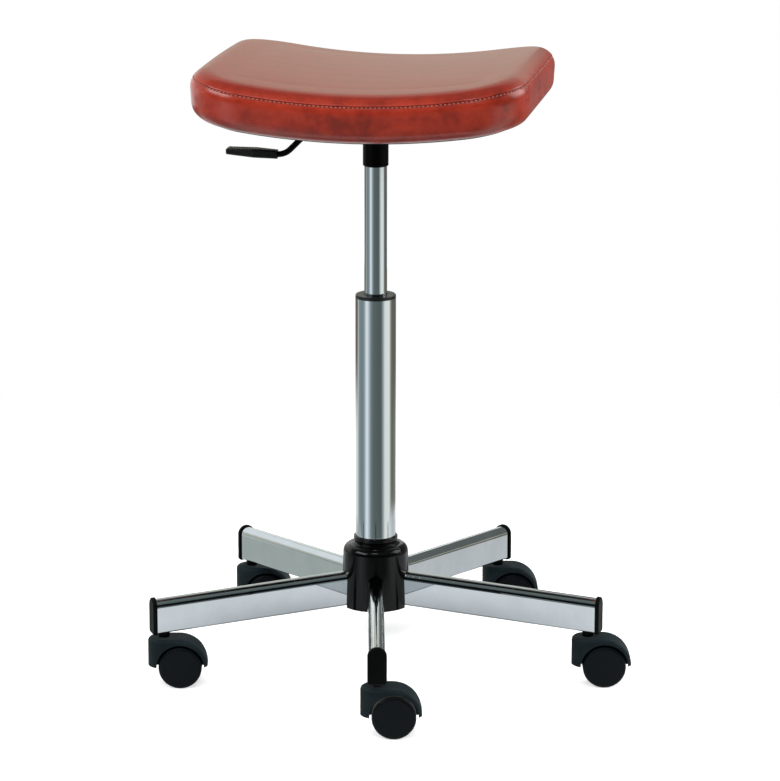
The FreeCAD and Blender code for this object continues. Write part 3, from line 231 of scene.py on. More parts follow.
def paperFloor(spec):
    half = spec["floorHalf"]
    corners = [(-half, -half, 0), (half, -half, 0), (half, half, 0), (-half, half, 0)]
    mesh = bpy.data.meshes.new("paper_floor")
    mesh.from_pydata(corners, [], [(0, 1, 2, 3)])
    obj = bpy.data.objects.new("paper_floor", mesh)
    scene.collection.objects.link(obj)
    made, tree = newMaterial("white_paper_sweep")
    rays = addNode(tree, "ShaderNodeLightPath")
    place = addNode(tree, "ShaderNodeNewGeometry")
    axes = turnedAxes(tree, (place, "Position"))
    toCamera = addNode(tree, "ShaderNodeMath", {"operation": "MULTIPLY"}, {0: (axes, "Y"), 1: -1.0})
    share = angleShare(tree, (axes, "X"), (toCamera, "Value"), -180)
    room = addNode(tree, "ShaderNodeValToRGB", {"stops": rampStops(spec["sectors"], -180)},
                   {"Fac": (share, "Result")})
    near = addNode(tree, "ShaderNodeValToRGB", {"stops": rampStops(spec["paper"], -180)},
                   {"Fac": (share, "Result")})
    radius = addNode(tree, "ShaderNodeVectorMath", {"operation": "LENGTH"}, {0: (place, "Position")})
    reach = addNode(tree, "ShaderNodeValToRGB", {"stops": rampStops(spec["paperReach"], -180)},
                    {"Fac": (share, "Result")})
    past = addNode(tree, "ShaderNodeMath", {"operation": "SUBTRACT"},
                   {0: (radius, "Value"), 1: (reach, "Color")})
    pastPaper = addNode(tree, "ShaderNodeMapRange", {"interpolation_type": "SMOOTHSTEP"},
                        {"Value": (past, "Value"), "From Min": 0.0, "From Max": spec["paperEdge"]})
    seen = addNode(tree, "ShaderNodeMix", {"data_type": "RGBA"},
                   {"Factor": (pastPaper, "Result"), "A": (near, "Color"), "B": (room, "Color")})
    end = addNode(tree, "ShaderNodeValToRGB", {"stops": rampStops(spec["farReach"], -180)},
                  {"Fac": (share, "Result")})
    beyond = addNode(tree, "ShaderNodeMath", {"operation": "SUBTRACT"},
                     {0: (radius, "Value"), 1: (end, "Color")})
    farOff = addNode(tree, "ShaderNodeMapRange", {"interpolation_type": "SMOOTHSTEP"},
                     {"Value": (beyond, "Value"), "From Min": 0.0, "From Max": spec["farEdge"]})
    dimmed = addNode(tree, "ShaderNodeMix", {"data_type": "RGBA"},
                     {"Factor": (farOff, "Result"), "A": (seen, "Result"), "B": linear(spec["farTone"])})
    gain, (inner, outer, left) = spec["roomGain"], spec["underSeat"]
    shaded = addNode(tree, "ShaderNodeMapRange", {"interpolation_type": "SMOOTHSTEP"},
                     {"Value": (radius, "Value"), "From Min": inner, "From Max": outer,
                      "To Min": gain * left, "To Max": gain})
    mirrored = addNode(tree, "ShaderNodeEmission", {},
                       {"Color": (dimmed, "Result"), "Strength": (shaded, "Result")})
    paper = addNode(tree, "ShaderNodeBsdfDiffuse", {}, {"Color": linear(spec["paperTone"])})
    lift = addNode(tree, "ShaderNodeEmission", {}, {"Strength": spec["paperLift"]})
    white = addNode(tree, "ShaderNodeEmission", {}, {"Strength": 1.0})
    lifted = addNode(tree, "ShaderNodeAddShader", {}, {0: (paper, "BSDF"), 1: (lift, "Emission")})
    fade = addNode(tree, "ShaderNodeMapRange", {"interpolation_type": "SMOOTHSTEP"},
                   {"Value": (radius, "Value"), "From Min": spec["shadowReach"][0],
                    "From Max": spec["shadowReach"][1]})
    photographed = addNode(tree, "ShaderNodeMixShader", {},
                           {0: (fade, "Result"), 1: (lifted, "Shader"), 2: (white, "Emission")})
    bounce = addNode(tree, "ShaderNodeBsdfDiffuse", {}, {"Color": linear(spec["bounceTone"])})
    byCamera = addNode(tree, "ShaderNodeMixShader", {},
                       {0: (rays, "Is Camera Ray"), 1: (bounce, "BSDF"), 2: (photographed, "Shader")})
    inMirror = shownRays(tree, rays)
    byMirror = addNode(tree, "ShaderNodeMixShader", {},
                       {0: (inMirror, "Value"), 1: (byCamera, "Shader"), 2: (mirrored, "Emission")})
    addNode(tree, "ShaderNodeOutputMaterial", {}, {"Surface": (byMirror, "Shader")})
    mesh.materials.append(made)
    obj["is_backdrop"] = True


def plainRoom(spec):
    world = bpy.data.worlds.new("plain_room")
    scene.world = world
    world.use_nodes = True
    tree = world.node_tree
    tree.nodes.clear()
    rays = addNode(tree, "ShaderNodeLightPath")
    way = addNode(tree, "ShaderNodeTexCoord")
    axes = turnedAxes(tree, (way, "Generated"))
    share = angleShare(tree, (axes, "Z"), (axes, "Y"), 0)
    above = addNode(tree, "ShaderNodeValToRGB", {"stops": rampStops(spec["ceiling"], 0)},
                    {"Fac": (share, "Result")})
    white = linear("#FFFFFF")
    sky = addNode(tree, "ShaderNodeBackground", {}, {"Color": white, "Strength": spec["skyLevel"]})
    mirrored = addNode(tree, "ShaderNodeBackground", {}, {"Color": (above, "Color"), "Strength": 1.0})
    backdrop = addNode(tree, "ShaderNodeBackground", {}, {"Color": white, "Strength": 1.0})
    inMirror = shownRays(tree, rays)
    byMirror = addNode(tree, "ShaderNodeMixShader", {},
                       {0: (inMirror, "Value"), 1: (sky, "Background"), 2: (mirrored, "Background")})
    byCamera = addNode(tree, "ShaderNodeMixShader", {},
                       {0: (rays, "Is Camera Ray"), 1: (byMirror, "Shader"), 2: (backdrop, "Background")})
    addNode(tree, "ShaderNodeOutputWorld", {}, {"Surface": (byCamera, "Shader")})


def addLamp(name, spec, aim):
    data = bpy.data.lights.new(name, "AREA")
    data.shape = "RECTANGLE"
    data.size, data.size_y = spec["size"]
    data.energy = spec["level"] * math.pi ** 2 * spec["away"] ** 2  # watts for that level at the object
    obj = bpy.data.objects.new(name, data)
    scene.collection.objects.link(obj)
    side = math.radians(camera["turn"] + spec["side"])
    rise = math.radians(spec["rise"])
    way = Vector((math.sin(side) * math.cos(rise), -math.cos(side) * math.cos(rise), math.sin(rise)))
    obj.location = aim + way * spec["away"]
    obj.rotation_euler = (-way).to_track_quat("-Z", "Y").to_euler()
    obj.visible_glossy = spec["shine"]


def planPoint(right, away):
    # floor plan as the camera sees it, turned to world x and y
    turn = math.radians(camera["turn"])
    return right * math.cos(turn) - away * math.sin(turn), right * math.sin(turn) + away * math.cos(turn)


def addCard(name, spec):
    foot, top = spec["heights"]
    (x0, y0), (x1, y1) = [planPoint(*end) for end in spec["ends"]]
    corners = [(x0, y0, foot), (x1, y1, foot), (x1, y1, top), (x0, y0, top)]
    mesh = bpy.data.meshes.new(name)
    mesh.from_pydata(corners, [], [(0, 1, 2, 3)])
    made, tree = newMaterial(name)
    glow = addNode(tree, "ShaderNodeEmission", {},
                   {"Color": linear(spec["tone"]), "Strength": spec["gain"]})
    addNode(tree, "ShaderNodeOutputMaterial", {}, {"Surface": (glow, "Emission")})
    mesh.materials.append(made)
    obj = bpy.data.objects.new(name, mesh)
    scene.collection.objects.link(obj)
    obj.visible_camera = obj.visible_diffuse = obj.visible_shadow = False
    obj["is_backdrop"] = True


paperFloor(studio)
plainRoom(studio)
for name, spec in cards.items():
    addCard(name, spec)
for name, spec in lamps.items():
    addLamp(name, spec, (cadLow + cadHigh) / 2)
print("studio: floor, room,", len(cards), "cards and", len(lamps), "lamps")


# Materials
noiseLow, noiseHigh = 0.3, 0.7  # most values of a noise lie between these
textureDepth = 0.0002  # metres, of a moulded or coated surface
leatherette = {
    "cloudMm": 24,
    "cloudTones": [(0.28, "#7C2417"), (0.42, "#92291A"), (0.54, "#9F2F1D"), (0.74, "#A83421")],
    # the top's painted shade: a darker, even red on upward faces
    "shadedTopTone": "#89291C",
    "shadedTopFacing": (0.6, 0.95),  # upward part of the normal where the painted shade on the top starts and is full
    "shadedTopShare": 0.8,
    "speckMm": 6,
    "speckTones": [(0.40, "#DDD8D6"), (0.62, "#FFFFFF")],
    "speckShare": 0.3,
    "wax": (0.24, 0.26),  # roughness
    # real pebbles are under a millimetre, drawn coarser so that they do not break up into sparkle
    "grainMm": 2.6,
    "grainRelief": 0.006,
    "grainDepth": 0.0003,
}


def finishMaterial(tree, settings):
    shader = addNode(tree, "ShaderNodeBsdfPrincipled", {}, settings)
    addNode(tree, "ShaderNodeOutputMaterial", {}, {"Surface": (shader, "BSDF")})


def leatherettePvc(spec):
    # PVC-coated cloth, embossed and wiped with a darker tone: cloudy red, fine pebble grain, waxy shine
    made, tree = newMaterial("leatherette_pvc_embossed_antiqued")
    place = addNode(tree, "ShaderNodeTexCoord")
    clouds = addNode(tree, "ShaderNodeTexNoise", {},
                     {"Vector": (place, "Object"), "Scale": perMm(spec["cloudMm"]), "Detail": 4.0,
                      "Roughness": 0.5, "Distortion": 0.2})
    tone = addNode(tree, "ShaderNodeValToRGB", {"stops": spec["cloudTones"]}, {"Fac": (clouds, "Fac")})
    # painted shade on the top: faces turned upward get a darker, even tone
    facing = addNode(tree, "ShaderNodeNewGeometry")
    upward = addNode(tree, "ShaderNodeSeparateXYZ", {}, {"Vector": (facing, "Normal")})
    topShade = addNode(tree, "ShaderNodeMapRange", {"interpolation_type": "SMOOTHSTEP"},
                     {"Value": (upward, "Z"), "From Min": spec["shadedTopFacing"][0],
                      "From Max": spec["shadedTopFacing"][1], "To Max": spec["shadedTopShare"]})
    shadedTop = addNode(tree, "ShaderNodeMix", {"data_type": "RGBA"},
                   {"Factor": (topShade, "Result"), "A": (tone, "Color"), "B": linear(spec["shadedTopTone"])})
    specks = addNode(tree, "ShaderNodeTexNoise", {},
                     {"Vector": (place, "Object"), "Scale": perMm(spec["speckMm"]), "Detail": 3.0})
    speckTone = addNode(tree, "ShaderNodeValToRGB", {"stops": spec["speckTones"]},
                        {"Fac": (specks, "Fac")})
    colour = addNode(tree, "ShaderNodeMix", {"data_type": "RGBA", "blend_type": "MULTIPLY"},
                     {"Factor": spec["speckShare"], "A": (shadedTop, "Result"), "B": (speckTone, "Color")})
    wax = addNode(tree, "ShaderNodeMapRange", {},
                  {"Value": (specks, "Fac"), "From Min": noiseLow, "From Max": noiseHigh,
                   "To Min": spec["wax"][0], "To Max": spec["wax"][1]})
    grain = addNode(tree, "ShaderNodeTexVoronoi", {"feature": "SMOOTH_F1"},
                    {"Vector": (place, "Object"), "Scale": perMm(spec["grainMm"]), "Smoothness": 0.8})
    relief = addNode(tree, "ShaderNodeBump", {},
                     {"Height": (grain, "Distance"), "Strength": spec["grainRelief"],
                      "Distance": spec["grainDepth"]})
    finishMaterial(tree, {"Base Color": (colour, "Result"), "Roughness": (wax, "Result"), "IOR": 1.5,
                          "Normal": (relief, "Normal")})
    return made


def sewingThread():
    # spun polyester, a shade lighter than the cover: dull, twisted
    made, tree = newMaterial("thread_polyester_twisted")
    place = addNode(tree, "ShaderNodeTexCoord")
    twist = addNode(tree, "ShaderNodeTexNoise", {}, {"Vector": (place, "Object"), "Scale": perMm(0.8)})
    tone = addNode(tree, "ShaderNodeValToRGB", {"stops": [(0.35, "#BC6A5C"), (0.65, "#D98C7E")]},
                   {"Fac": (twist, "Fac")})
    finishMaterial(tree, {"Base Color": (tone, "Color"), "Roughness": 0.7})
    return made


def needleHoleShade():
    # painted shade: dark blobs on the cover that stand for the shadow inside each needle hole
    made, tree = newMaterial("needle_hole_painted_shade")
    place = addNode(tree, "ShaderNodeTexCoord")
    rim = addNode(tree, "ShaderNodeTexNoise", {}, {"Vector": (place, "Object"), "Scale": perMm(1.5)})
    tone = addNode(tree, "ShaderNodeValToRGB", {"stops": [(0.35, "#2E0D0A"), (0.65, "#54170F")]},
                   {"Fac": (rim, "Fac")})
    finishMaterial(tree, {"Base Color": (tone, "Color"), "Roughness": 0.8})
    return made


def chromePlate(spec):
    # nickel and chromium plate over drawn steel tube: cool mirror, faint lines along the tube
    made, tree = newMaterial(spec["name"])
    place = addNode(tree, "ShaderNodeTexCoord")
    drawn = addNode(tree, "ShaderNodeMapping", {},
                    {"Vector": (place, "Object"), "Scale": [perMm(size) for size in spec["linesMm"]]})
    lines = addNode(tree, "ShaderNodeTexNoise", {},
                    {"Vector": (drawn, "Vector"), "Scale": 1.0, "Detail": 3.0, "Roughness": 0.55})
    polish = addNode(tree, "ShaderNodeMapRange", {},
                     {"Value": (lines, "Fac"), "From Min": noiseLow, "From Max": noiseHigh,
                      "To Min": spec["roughness"][0], "To Max": spec["roughness"][1]})
    tone = addNode(tree, "ShaderNodeValToRGB", {"stops": [(noiseLow, "#BDC2C6"), (noiseHigh, "#C5C9CC")]},
                   {"Fac": (lines, "Fac")})
    finishMaterial(tree, {"Base Color": (tone, "Color"), "Metallic": 1.0, "Roughness": (polish, "Result")})
    return made


def mouldedPlastic(spec):
    # injection-moulded: even colour with faint flow marks, the tool's texture breaks the shine
    made, tree = newMaterial(spec["name"])
    flowMm = 18
    place = addNode(tree, "ShaderNodeTexCoord")
    flow = addNode(tree, "ShaderNodeTexNoise", {},
                   {"Vector": (place, "Object"), "Scale": perMm(flowMm), "Detail": 4.0})
    dark, light = spec["tones"]
    tone = addNode(tree, "ShaderNodeValToRGB", {"stops": [(noiseLow, dark), (noiseHigh, light)]},
                   {"Fac": (flow, "Fac")})
    grain = addNode(tree, "ShaderNodeTexNoise", {},
                    {"Vector": (place, "Object"), "Scale": perMm(spec["grainMm"]), "Detail": 2.0})
    shine = addNode(tree, "ShaderNodeMapRange", {},
                    {"Value": (flow, "Fac"), "From Min": noiseLow, "From Max": noiseHigh,
                     "To Min": spec["roughness"][0], "To Max": spec["roughness"][1]})
    bump = addNode(tree, "ShaderNodeBump", {},
                   {"Height": (grain, "Fac"), "Strength": spec["relief"], "Distance": textureDepth})
    finishMaterial(tree, {"Base Color": (tone, "Color"), "Roughness": (shine, "Result"),
                          "Specular IOR Level": spec["specular"], "Normal": (bump, "Normal")})
    return made


def steelFinish(spec):
    # plated, ground or coated steel: tone and shine vary together over the grain of its surface
    made, tree = newMaterial(spec["name"])
    place = addNode(tree, "ShaderNodeTexCoord")
    grain = addNode(tree, "ShaderNodeTexNoise", {},
                    {"Vector": (place, "Object"), "Scale": perMm(spec["grainMm"]), "Detail": 4.0,
                     "Roughness": 0.6})
    dark, light = spec["tones"]
    tone = addNode(tree, "ShaderNodeValToRGB", {"stops": [(noiseLow, dark), (noiseHigh, light)]},
                   {"Fac": (grain, "Fac")})
    shine = addNode(tree, "ShaderNodeMapRange", {},
                    {"Value": (grain, "Fac"), "From Min": noiseLow, "From Max": noiseHigh,
                     "To Min": spec["roughness"][0], "To Max": spec["roughness"][1]})
    bump = addNode(tree, "ShaderNodeBump", {},
                   {"Height": (grain, "Fac"), "Strength": spec["relief"], "Distance": textureDepth})
    finishMaterial(tree, {"Base Color": (tone, "Color"), "Metallic": spec["metallic"],
                          "Roughness": (shine, "Result"), "Specular IOR Level": spec["specular"],
                          "Normal": (bump, "Normal")})
    return made


def beechPlywood():
    # peeled beech veneers, hot pressed: pale pink-brown with short dark flecks and ply lines at the edge
    made, tree = newMaterial("plywood_beech_pressed")
    place = addNode(tree, "ShaderNodeTexCoord")
    along = addNode(tree, "ShaderNodeMapping", {},
                    {"Vector": (place, "Object"), "Scale": (perMm(30), perMm(1.6), perMm(1.5))})
    grain = addNode(tree, "ShaderNodeTexNoise", {},
                    {"Vector": (along, "Vector"), "Scale": 1.0, "Detail": 4.0})
    tone = addNode(tree, "ShaderNodeValToRGB",
                   {"stops": [(0.32, "#8C6342"), (0.5, "#C39A6E"), (0.7, "#D4B189")]},
                   {"Fac": (grain, "Fac")})
    finishMaterial(tree, {"Base Color": (tone, "Color"), "Roughness": 0.6})
    return made


def dustCloth():
    # spunbond polypropylene: matt black felt with a grid of pressed dots
    made, tree = newMaterial("dust_cloth_spunbond_polypropylene")
    place = addNode(tree, "ShaderNodeTexCoord")
    dots = addNode(tree, "ShaderNodeTexVoronoi", {"feature": "F1"},
                   {"Vector": (place, "Object"), "Scale": perMm(2.2), "Randomness": 0.15})
    fibres = addNode(tree, "ShaderNodeTexNoise", {},
                     {"Vector": (place, "Object"), "Scale": perMm(0.9), "Detail": 3.0})
    tone = addNode(tree, "ShaderNodeValToRGB", {"stops": [(0.3, "#1A1B1D"), (0.7, "#303236")]},
                   {"Fac": (fibres, "Fac")})
    relief = addNode(tree, "ShaderNodeBump", {},
                     {"Height": (dots, "Distance"), "Strength": 0.5, "Distance": 0.0004})
    finishMaterial(tree, {"Base Color": (tone, "Color"), "Roughness": 0.9, "Normal": (relief, "Normal")})
    return made


chromes = {
    "arms": {"name": "chrome_plate_on_arm_tube", "linesMm": (30, 30, 30), "roughness": (0.03, 0.06)},
    "column": {"name": "chrome_plate_on_column_tube", "linesMm": (1.1, 1.1, 160),
               "roughness": (0.06, 0.13)},
}
steels = {
    # pale grey with a soft bloom
    "zinc_steel": {"name": "steel_zinc_plated", "tones": ("#9DA1A3", "#B4B7B6"), "metallic": 1.0,
                   "roughness": (0.28, 0.42), "grainMm": 6, "relief": 0.05, "specular": 0.5},
    # brighter and finer
    "ground_steel": {"name": "steel_ground", "tones": ("#A9ABAD", "#BDBFC0"), "metallic": 1.0,
                     "roughness": (0.16, 0.26), "grainMm": 3, "relief": 0.03, "specular": 0.5},
    # baked powder, deep black with a slight orange peel
    "black_steel": {"name": "steel_powder_coated_black", "tones": ("#030303", "#060606"), "metallic": 0.0,
                    "roughness": (0.34, 0.46), "grainMm": 1.6, "relief": 0.12, "specular": 0.06},
}
plastics = {
    # dull black
    "pad_rubber": {"name": "rubber_moulded_black", "tones": ("#141415", "#1C1C1D"),
                   "roughness": (0.75, 0.9), "grainMm": 1.2, "relief": 0.3, "specular": 0.3},
    # satin, with a gritty tool texture
    "grip_plastic": {"name": "polypropylene_moulded_grip", "tones": ("#0C0D0D", "#131414"),
                     "roughness": (0.38, 0.48), "grainMm": 0.9, "relief": 0.2, "specular": 0.3},
    # smooth satin
    "guide_plastic": {"name": "acetal_moulded_black", "tones": ("#0F1011", "#161718"),
                      "roughness": (0.35, 0.45), "grainMm": 1.5, "relief": 0.08, "specular": 0.4},
    # polished tool, clear reflections on deep black
    "hub_plastic": {"name": "abs_moulded_gloss_black", "tones": ("#040405", "#070708"),
                    "roughness": (0.10, 0.16), "grainMm": 6, "relief": 0.02, "specular": 0.2},
    # waxy matt black
    "cap_plastic": {"name": "polyethylene_moulded_cap", "tones": ("#050808", "#0A0D0D"),
                    "roughness": (0.44, 0.54), "grainMm": 1.0, "relief": 0.10, "specular": 0.06},
    # etched tool, matt blue-black
    "hood_plastic": {"name": "nylon_moulded_hood", "tones": ("#161F23", "#1D272B"),
                     "roughness": (0.52, 0.62), "grainMm": 0.8, "relief": 0.10, "specular": 0.08},
    # darker and a little smoother than the hoods
    "wheel_plastic": {"name": "nylon_moulded_wheel", "tones": ("#070C0F", "#0C1215"),
                      "roughness": (0.40, 0.5), "grainMm": 0.8, "relief": 0.08, "specular": 0.12},
}
finishes = {
    "leatherette": leatherettePvc(leatherette),
    "plywood": beechPlywood(),
    "dust_cloth": dustCloth(),
    "chrome": chromePlate(chromes["arms"]),
}
for slotName, spec in steels.items():
    finishes[slotName] = steelFinish(spec)
for slotName, spec in plastics.items():
    finishes[slotName] = mouldedPlastic(spec)
columnChrome = chromePlate(chromes["column"])
columnNodes = ("outer_tube", "gas_cylinder")
notMirrored = ("caster_1_", "caster_stems")  # the photographed arms mirror no front caster and no stems
for name, obj in nodes.items():
    slotName = obj.material_slots[0].material.name.split(".")[0]
    obj.material_slots[0].material = columnChrome if name in columnNodes else finishes[slotName]
    obj.visible_glossy = not name.startswith(notMirrored)
print("materials:", len(finishes), "finishes on the CAD nodes")

# Seat cover: rings cast onto the CAD cushion, a sewn fold over the side band, blown up by the cloth solver
cushion = {
    "bend": 0.941,  # radius of the underside, ends up
    "outset": 0.0014,  # sewn fold past the side band
    "corner": 0.073,
    "spineInset": 0.024,  # the rays start this far inside the outline
    "boardInset": 0.027,
    "recess": 0.0121,
    "step": 0.005,
    "lowRoll": 0.021,  # heights over the underside from which the two rolls are cast
    "highRoll": 0.034,
    "lowAngles": range(-90, 0, 15),  # degrees up from level at which their rays leave
    "highAngles": range(41, 92, 10),
    # heights over the underside and how far the cover is drawn in there, out where below nought
    "band": ((0.021, 0.0), (0.026, -0.0003), (0.031, -0.0006), (0.0355, -0.0009), (0.0395, -0.0011),
             (0.0425, -0.0009)),
    "fold": ((0.0446, -0.0011), (0.0456, -0.0007), (0.0462, 0.0002), (0.0466, -0.0001),
             (0.0474, -0.0002)),
    "boardRings": 4,  # lowest rings, held along the board
    "slack": 0.002,  # the cover starts this much inside and swells out
    "ease": 0.08,  # metres from the seams over which the slack comes in
    "foam": 0.14,  # how firmly the foam holds the cover
    "swellCap": 0.006,
    "evened": 14,  # rounds of averaging, the foam lets no ripple as fine as the mesh stand
    "pressure": 4.0,
    "frames": 20,
    "quality": 6,
    "mass": 0.3,
    "stretchStiffness": 30,
    "shearStiffness": 12,
    "bendStiffness": 1.0,
}
seatLow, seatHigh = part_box("seat_cushion")
halfWidth = (seatHigh.x - seatLow.x) / 2 + cushion["outset"]
halfDepth = (seatHigh.y - seatLow.y) / 2 + cushion["outset"]
bendCentre = seatLow.z + cushion["bend"]


def saddlePoint(x, y, height):
    # height is measured square to the bent underside
    return Vector((x, y, bendCentre - math.sqrt((cushion["bend"] - height) ** 2 - x * x)))


def outlinePoint(inset, share):
    # share runs from 0 to 4 round the plan, a whole number at each corner's middle, 0 at the front left
    corner = cushion["corner"] - inset
    reach = halfWidth - cushion["corner"], halfDepth - cushion["corner"]
    side = int(share) % 4
    across, along = reach if side % 2 == 0 else reach[::-1]
    arc = cushion["corner"] * math.pi / 4
    travel = (share - int(share)) * 2 * (across + arc)
    angle = -90
    x = travel - arc - across
    if abs(x) > across:
        angle += math.copysign(45 * (abs(x) - across) / arc, x)
        x = math.copysign(across, x)
    x += corner * math.cos(math.radians(angle))
    y = corner * math.sin(math.radians(angle)) - along
    turn = math.radians(90 * side)
    return x * math.cos(turn) - y * math.sin(turn), x * math.sin(turn) + y * math.cos(turn)


def ringShares(step):
    # even steps, the same count on opposite sides so that the top grid closes
    arc = cushion["corner"] * math.pi / 2
    across = round((2 * (halfWidth - cushion["corner"]) + arc) / step)
    along = round((2 * (halfDepth - cushion["corner"]) + arc) / step)
    shares = [side + i / count for side, count in enumerate((across, along) * 2) for i in range(count)]
    return shares, across, along


def cadSkin(name):
    mesh = nodes[name].data
    points = [nodes[name].matrix_world @ vertex.co for vertex in mesh.vertices]
    return BVHTree.FromPolygons(points, [tuple(face.vertices) for face in mesh.polygons])


def castRing(skin, shares, height, angle=0, drawn=0.0):
    # hits and normals round the cushion, from inside it at that height and angle
    hits, normals = [], []
    for share in shares:
        inner = saddlePoint(*outlinePoint(cushion["spineInset"], share), height)
        level = (saddlePoint(*outlinePoint(0, share), height) - inner).normalized()
        upward = level.cross(Vector((-level.y, level.x, 0))).normalized()
        way = level * math.cos(math.radians(angle)) + upward * math.sin(math.radians(angle))
        hit, normal = skin.ray_cast(inner, way)[:2]
        hits.append(hit - way * drawn)
        normals.append(normal if normal.dot(way) > 0 else -normal)
    return hits, normals


def coonsGrid(ring, across, along):
    # fills a closed ring with a grid, corners at shares 0, 1, 2, 3
    ring = np.array([point[:2] for point in ring])
    front = ring[:across + 1]
    right = ring[across:across + along + 1]
    back = ring[across + along:2 * across + along + 1][::-1]
    left = np.vstack([ring[2 * across + along:], ring[:1]])[::-1]
    u = np.linspace(0, 1, across + 1)[:, None, None]
    v = np.linspace(0, 1, along + 1)[None, :, None]
    grid = (1 - v) * front[:, None] + v * back[:, None] + (1 - u) * left[None] + u * right[None]
    grid -= ((1 - u) * (1 - v) * front[0] + u * (1 - v) * front[-1]
             + (1 - u) * v * back[0] + u * v * back[-1])
    return grid


def ringIndex(i, j, across, along, first):
    # vertex of the ring at a border cell of the grid
    if j == 0:
        return first + i
    if i == across:
        return first + across + j
    if j == along:
        return first + across + along + (across - i)
    return first + (2 * across + along + (along - j)) % (2 * across + 2 * along)


def addGrid(points, faces, ring, first, across, along, pointAt, upward):
    grid = coonsGrid(ring, across, along)
    place = {}
    for i in range(across + 1):
        for j in range(along + 1):
            if 0 < i < across and 0 < j < along:
                place[i, j] = len(points)
                points.append(pointAt(*grid[i, j]))
            else:
                place[i, j] = ringIndex(i, j, across, along, first)
    for i in range(across):
        for j in range(along):
            face = (place[i, j], place[i + 1, j], place[i + 1, j + 1], place[i, j + 1])
            faces.append(face if upward else face[::-1])


def newPiece(name, points, faces, finish):
    mesh = bpy.data.meshes.new(name)
    mesh.from_pydata(points, [], faces)
    mesh.polygons.foreach_set("use_smooth", [True] * len(faces))
    mesh.materials.append(finish)
    obj = bpy.data.objects.new(name, mesh)
    scene.collection.objects.link(obj)
    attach(obj, "seat")
    return obj


def cushionMesh(skin, spec):
    shares, across, along = ringShares(spec["step"])
    count = len(shares)
    rings = [[saddlePoint(*outlinePoint(spec["boardInset"], share), height) for share in shares]
             for height in (spec["recess"], 0.0)]
    rings += [castRing(skin, shares, spec["lowRoll"], angle)[0] for angle in spec["lowAngles"]]
    rings += [castRing(skin, shares, height, 0, drawn)[0] for height, drawn in spec["band"]]
    foldFirst = len(rings)
    rings += [castRing(skin, shares, height, 0, drawn)[0] for height, drawn in spec["fold"]]
    foldLast = len(rings)
    rings += [castRing(skin, shares, spec["highRoll"], angle)[0] for angle in spec["highAngles"]]
    points = [point for ring in rings for point in ring]
    faces = []
    for k in range(len(rings) - 1):
        for i in range(count):
            n = (i + 1) % count
            faces.append((k * count + i, k * count + n, (k + 1) * count + n, (k + 1) * count + i))
    above, down = seatHigh.z + spec["recess"], Vector((0, 0, -1))  # anywhere over the top will do

    def onTop(x, y):
        return skin.ray_cast(Vector((x, y, above)), down)[0]

    def onLining(x, y):
        return saddlePoint(x, y, spec["recess"])

    addGrid(points, faces, rings[-1], (len(rings) - 1) * count, across, along, onTop, True)
    lining = len(points)
    addGrid(points, faces, rings[0], 0, across, along, onLining, False)
    held = list(range(spec["boardRings"] * count)) + list(range(foldFirst * count, foldLast * count))
    held += list(range(lining, len(points)))
    return newPiece("seat_cushion_cover", points, faces, finishes["leatherette"]), held


def swell(obj, held, spec):
    # pressure in the cover, held at the fold, along the board and softly by the foam; moves are capped
    mesh = obj.data
    start = np.empty(len(mesh.vertices) * 3)
    mesh.vertices.foreach_get("co", start)
    start = start.reshape(-1, 3)
    normals = np.empty(len(mesh.vertices) * 3)
    mesh.vertices.foreach_get("normal", normals)
    normals = normals.reshape(-1, 3)
    seams = KDTree(len(held))
    for i, k in enumerate(held):
        seams.insert(start[k], i)
    seams.balance()
    loose = np.minimum([seams.find(point)[2] / spec["ease"] for point in start], 1)
    shrunk = start - normals * (spec["slack"] * loose ** 2 * (3 - 2 * loose))[:, None]
    mesh.vertices.foreach_set("co", shrunk.ravel())
    group = obj.vertex_groups.new(name="held")
    group.add(range(len(start)), spec["foam"], "REPLACE")
    group.add(held, 1.0, "REPLACE")
    cloth = obj.modifiers.new("blown", "CLOTH")
    fabric = cloth.settings
    fabric.quality = spec["quality"]
    fabric.mass = spec["mass"]
    fabric.tension_stiffness = fabric.compression_stiffness = spec["stretchStiffness"]
    fabric.shear_stiffness = spec["shearStiffness"]
    fabric.bending_stiffness = spec["bendStiffness"]
    fabric.use_pressure = True
    fabric.uniform_pressure_force = spec["pressure"]
    fabric.vertex_group_mass = group.name
    fabric.effector_weights.gravity = 0
    cloth.point_cache.frame_end = spec["frames"]
    for number in range(1, spec["frames"] + 1):
        scene.frame_set(number)
    blown = obj.evaluated_get(bpy.context.evaluated_depsgraph_get()).data
    moved = np.empty(len(mesh.vertices) * 3)
    blown.vertices.foreach_get("co", moved)
    move = moved.reshape(-1, 3) - shrunk
    far = np.linalg.norm(move, axis=1)
    move *= np.minimum(1, spec["swellCap"] / np.maximum(far, 1e-9))[:, None]
    edges = np.empty(len(mesh.edges) * 2, int)
    mesh.edges.foreach_get("vertices", edges)
    one, two = edges[::2], edges[1::2]
    share = 1 + np.bincount(edges, minlength=len(start))
    for step in range(spec["evened"]):
        total = move.copy()
        np.add.at(total, one, move[two])
        np.add.at(total, two, move[one])
        move = total / share[:, None]
    move[held] = 0
    obj.modifiers.remove(cloth)
    mesh.vertices.foreach_set("co", (shrunk + move).ravel())
    mesh.update()
    scene.frame_set(1)
    outward = ((shrunk + move - start) * normals).sum(axis=1)
    print("cushion: swelled by", round(1000 * far.max(), 2), "mm at most, outside the pattern by",
          round(1000 * outward.max(), 2), "mm, inside by", round(-1000 * outward.min(), 2), "mm")


skin = cadSkin("seat_cushion")
cover, heldPoints = cushionMesh(skin, cushion)
swell(cover, heldPoints, cushion)
cover.modifiers.new("softer", "SUBSURF").render_levels = 1
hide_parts("seat_cushion")
print("cushion:", len(cover.data.vertices), "points")


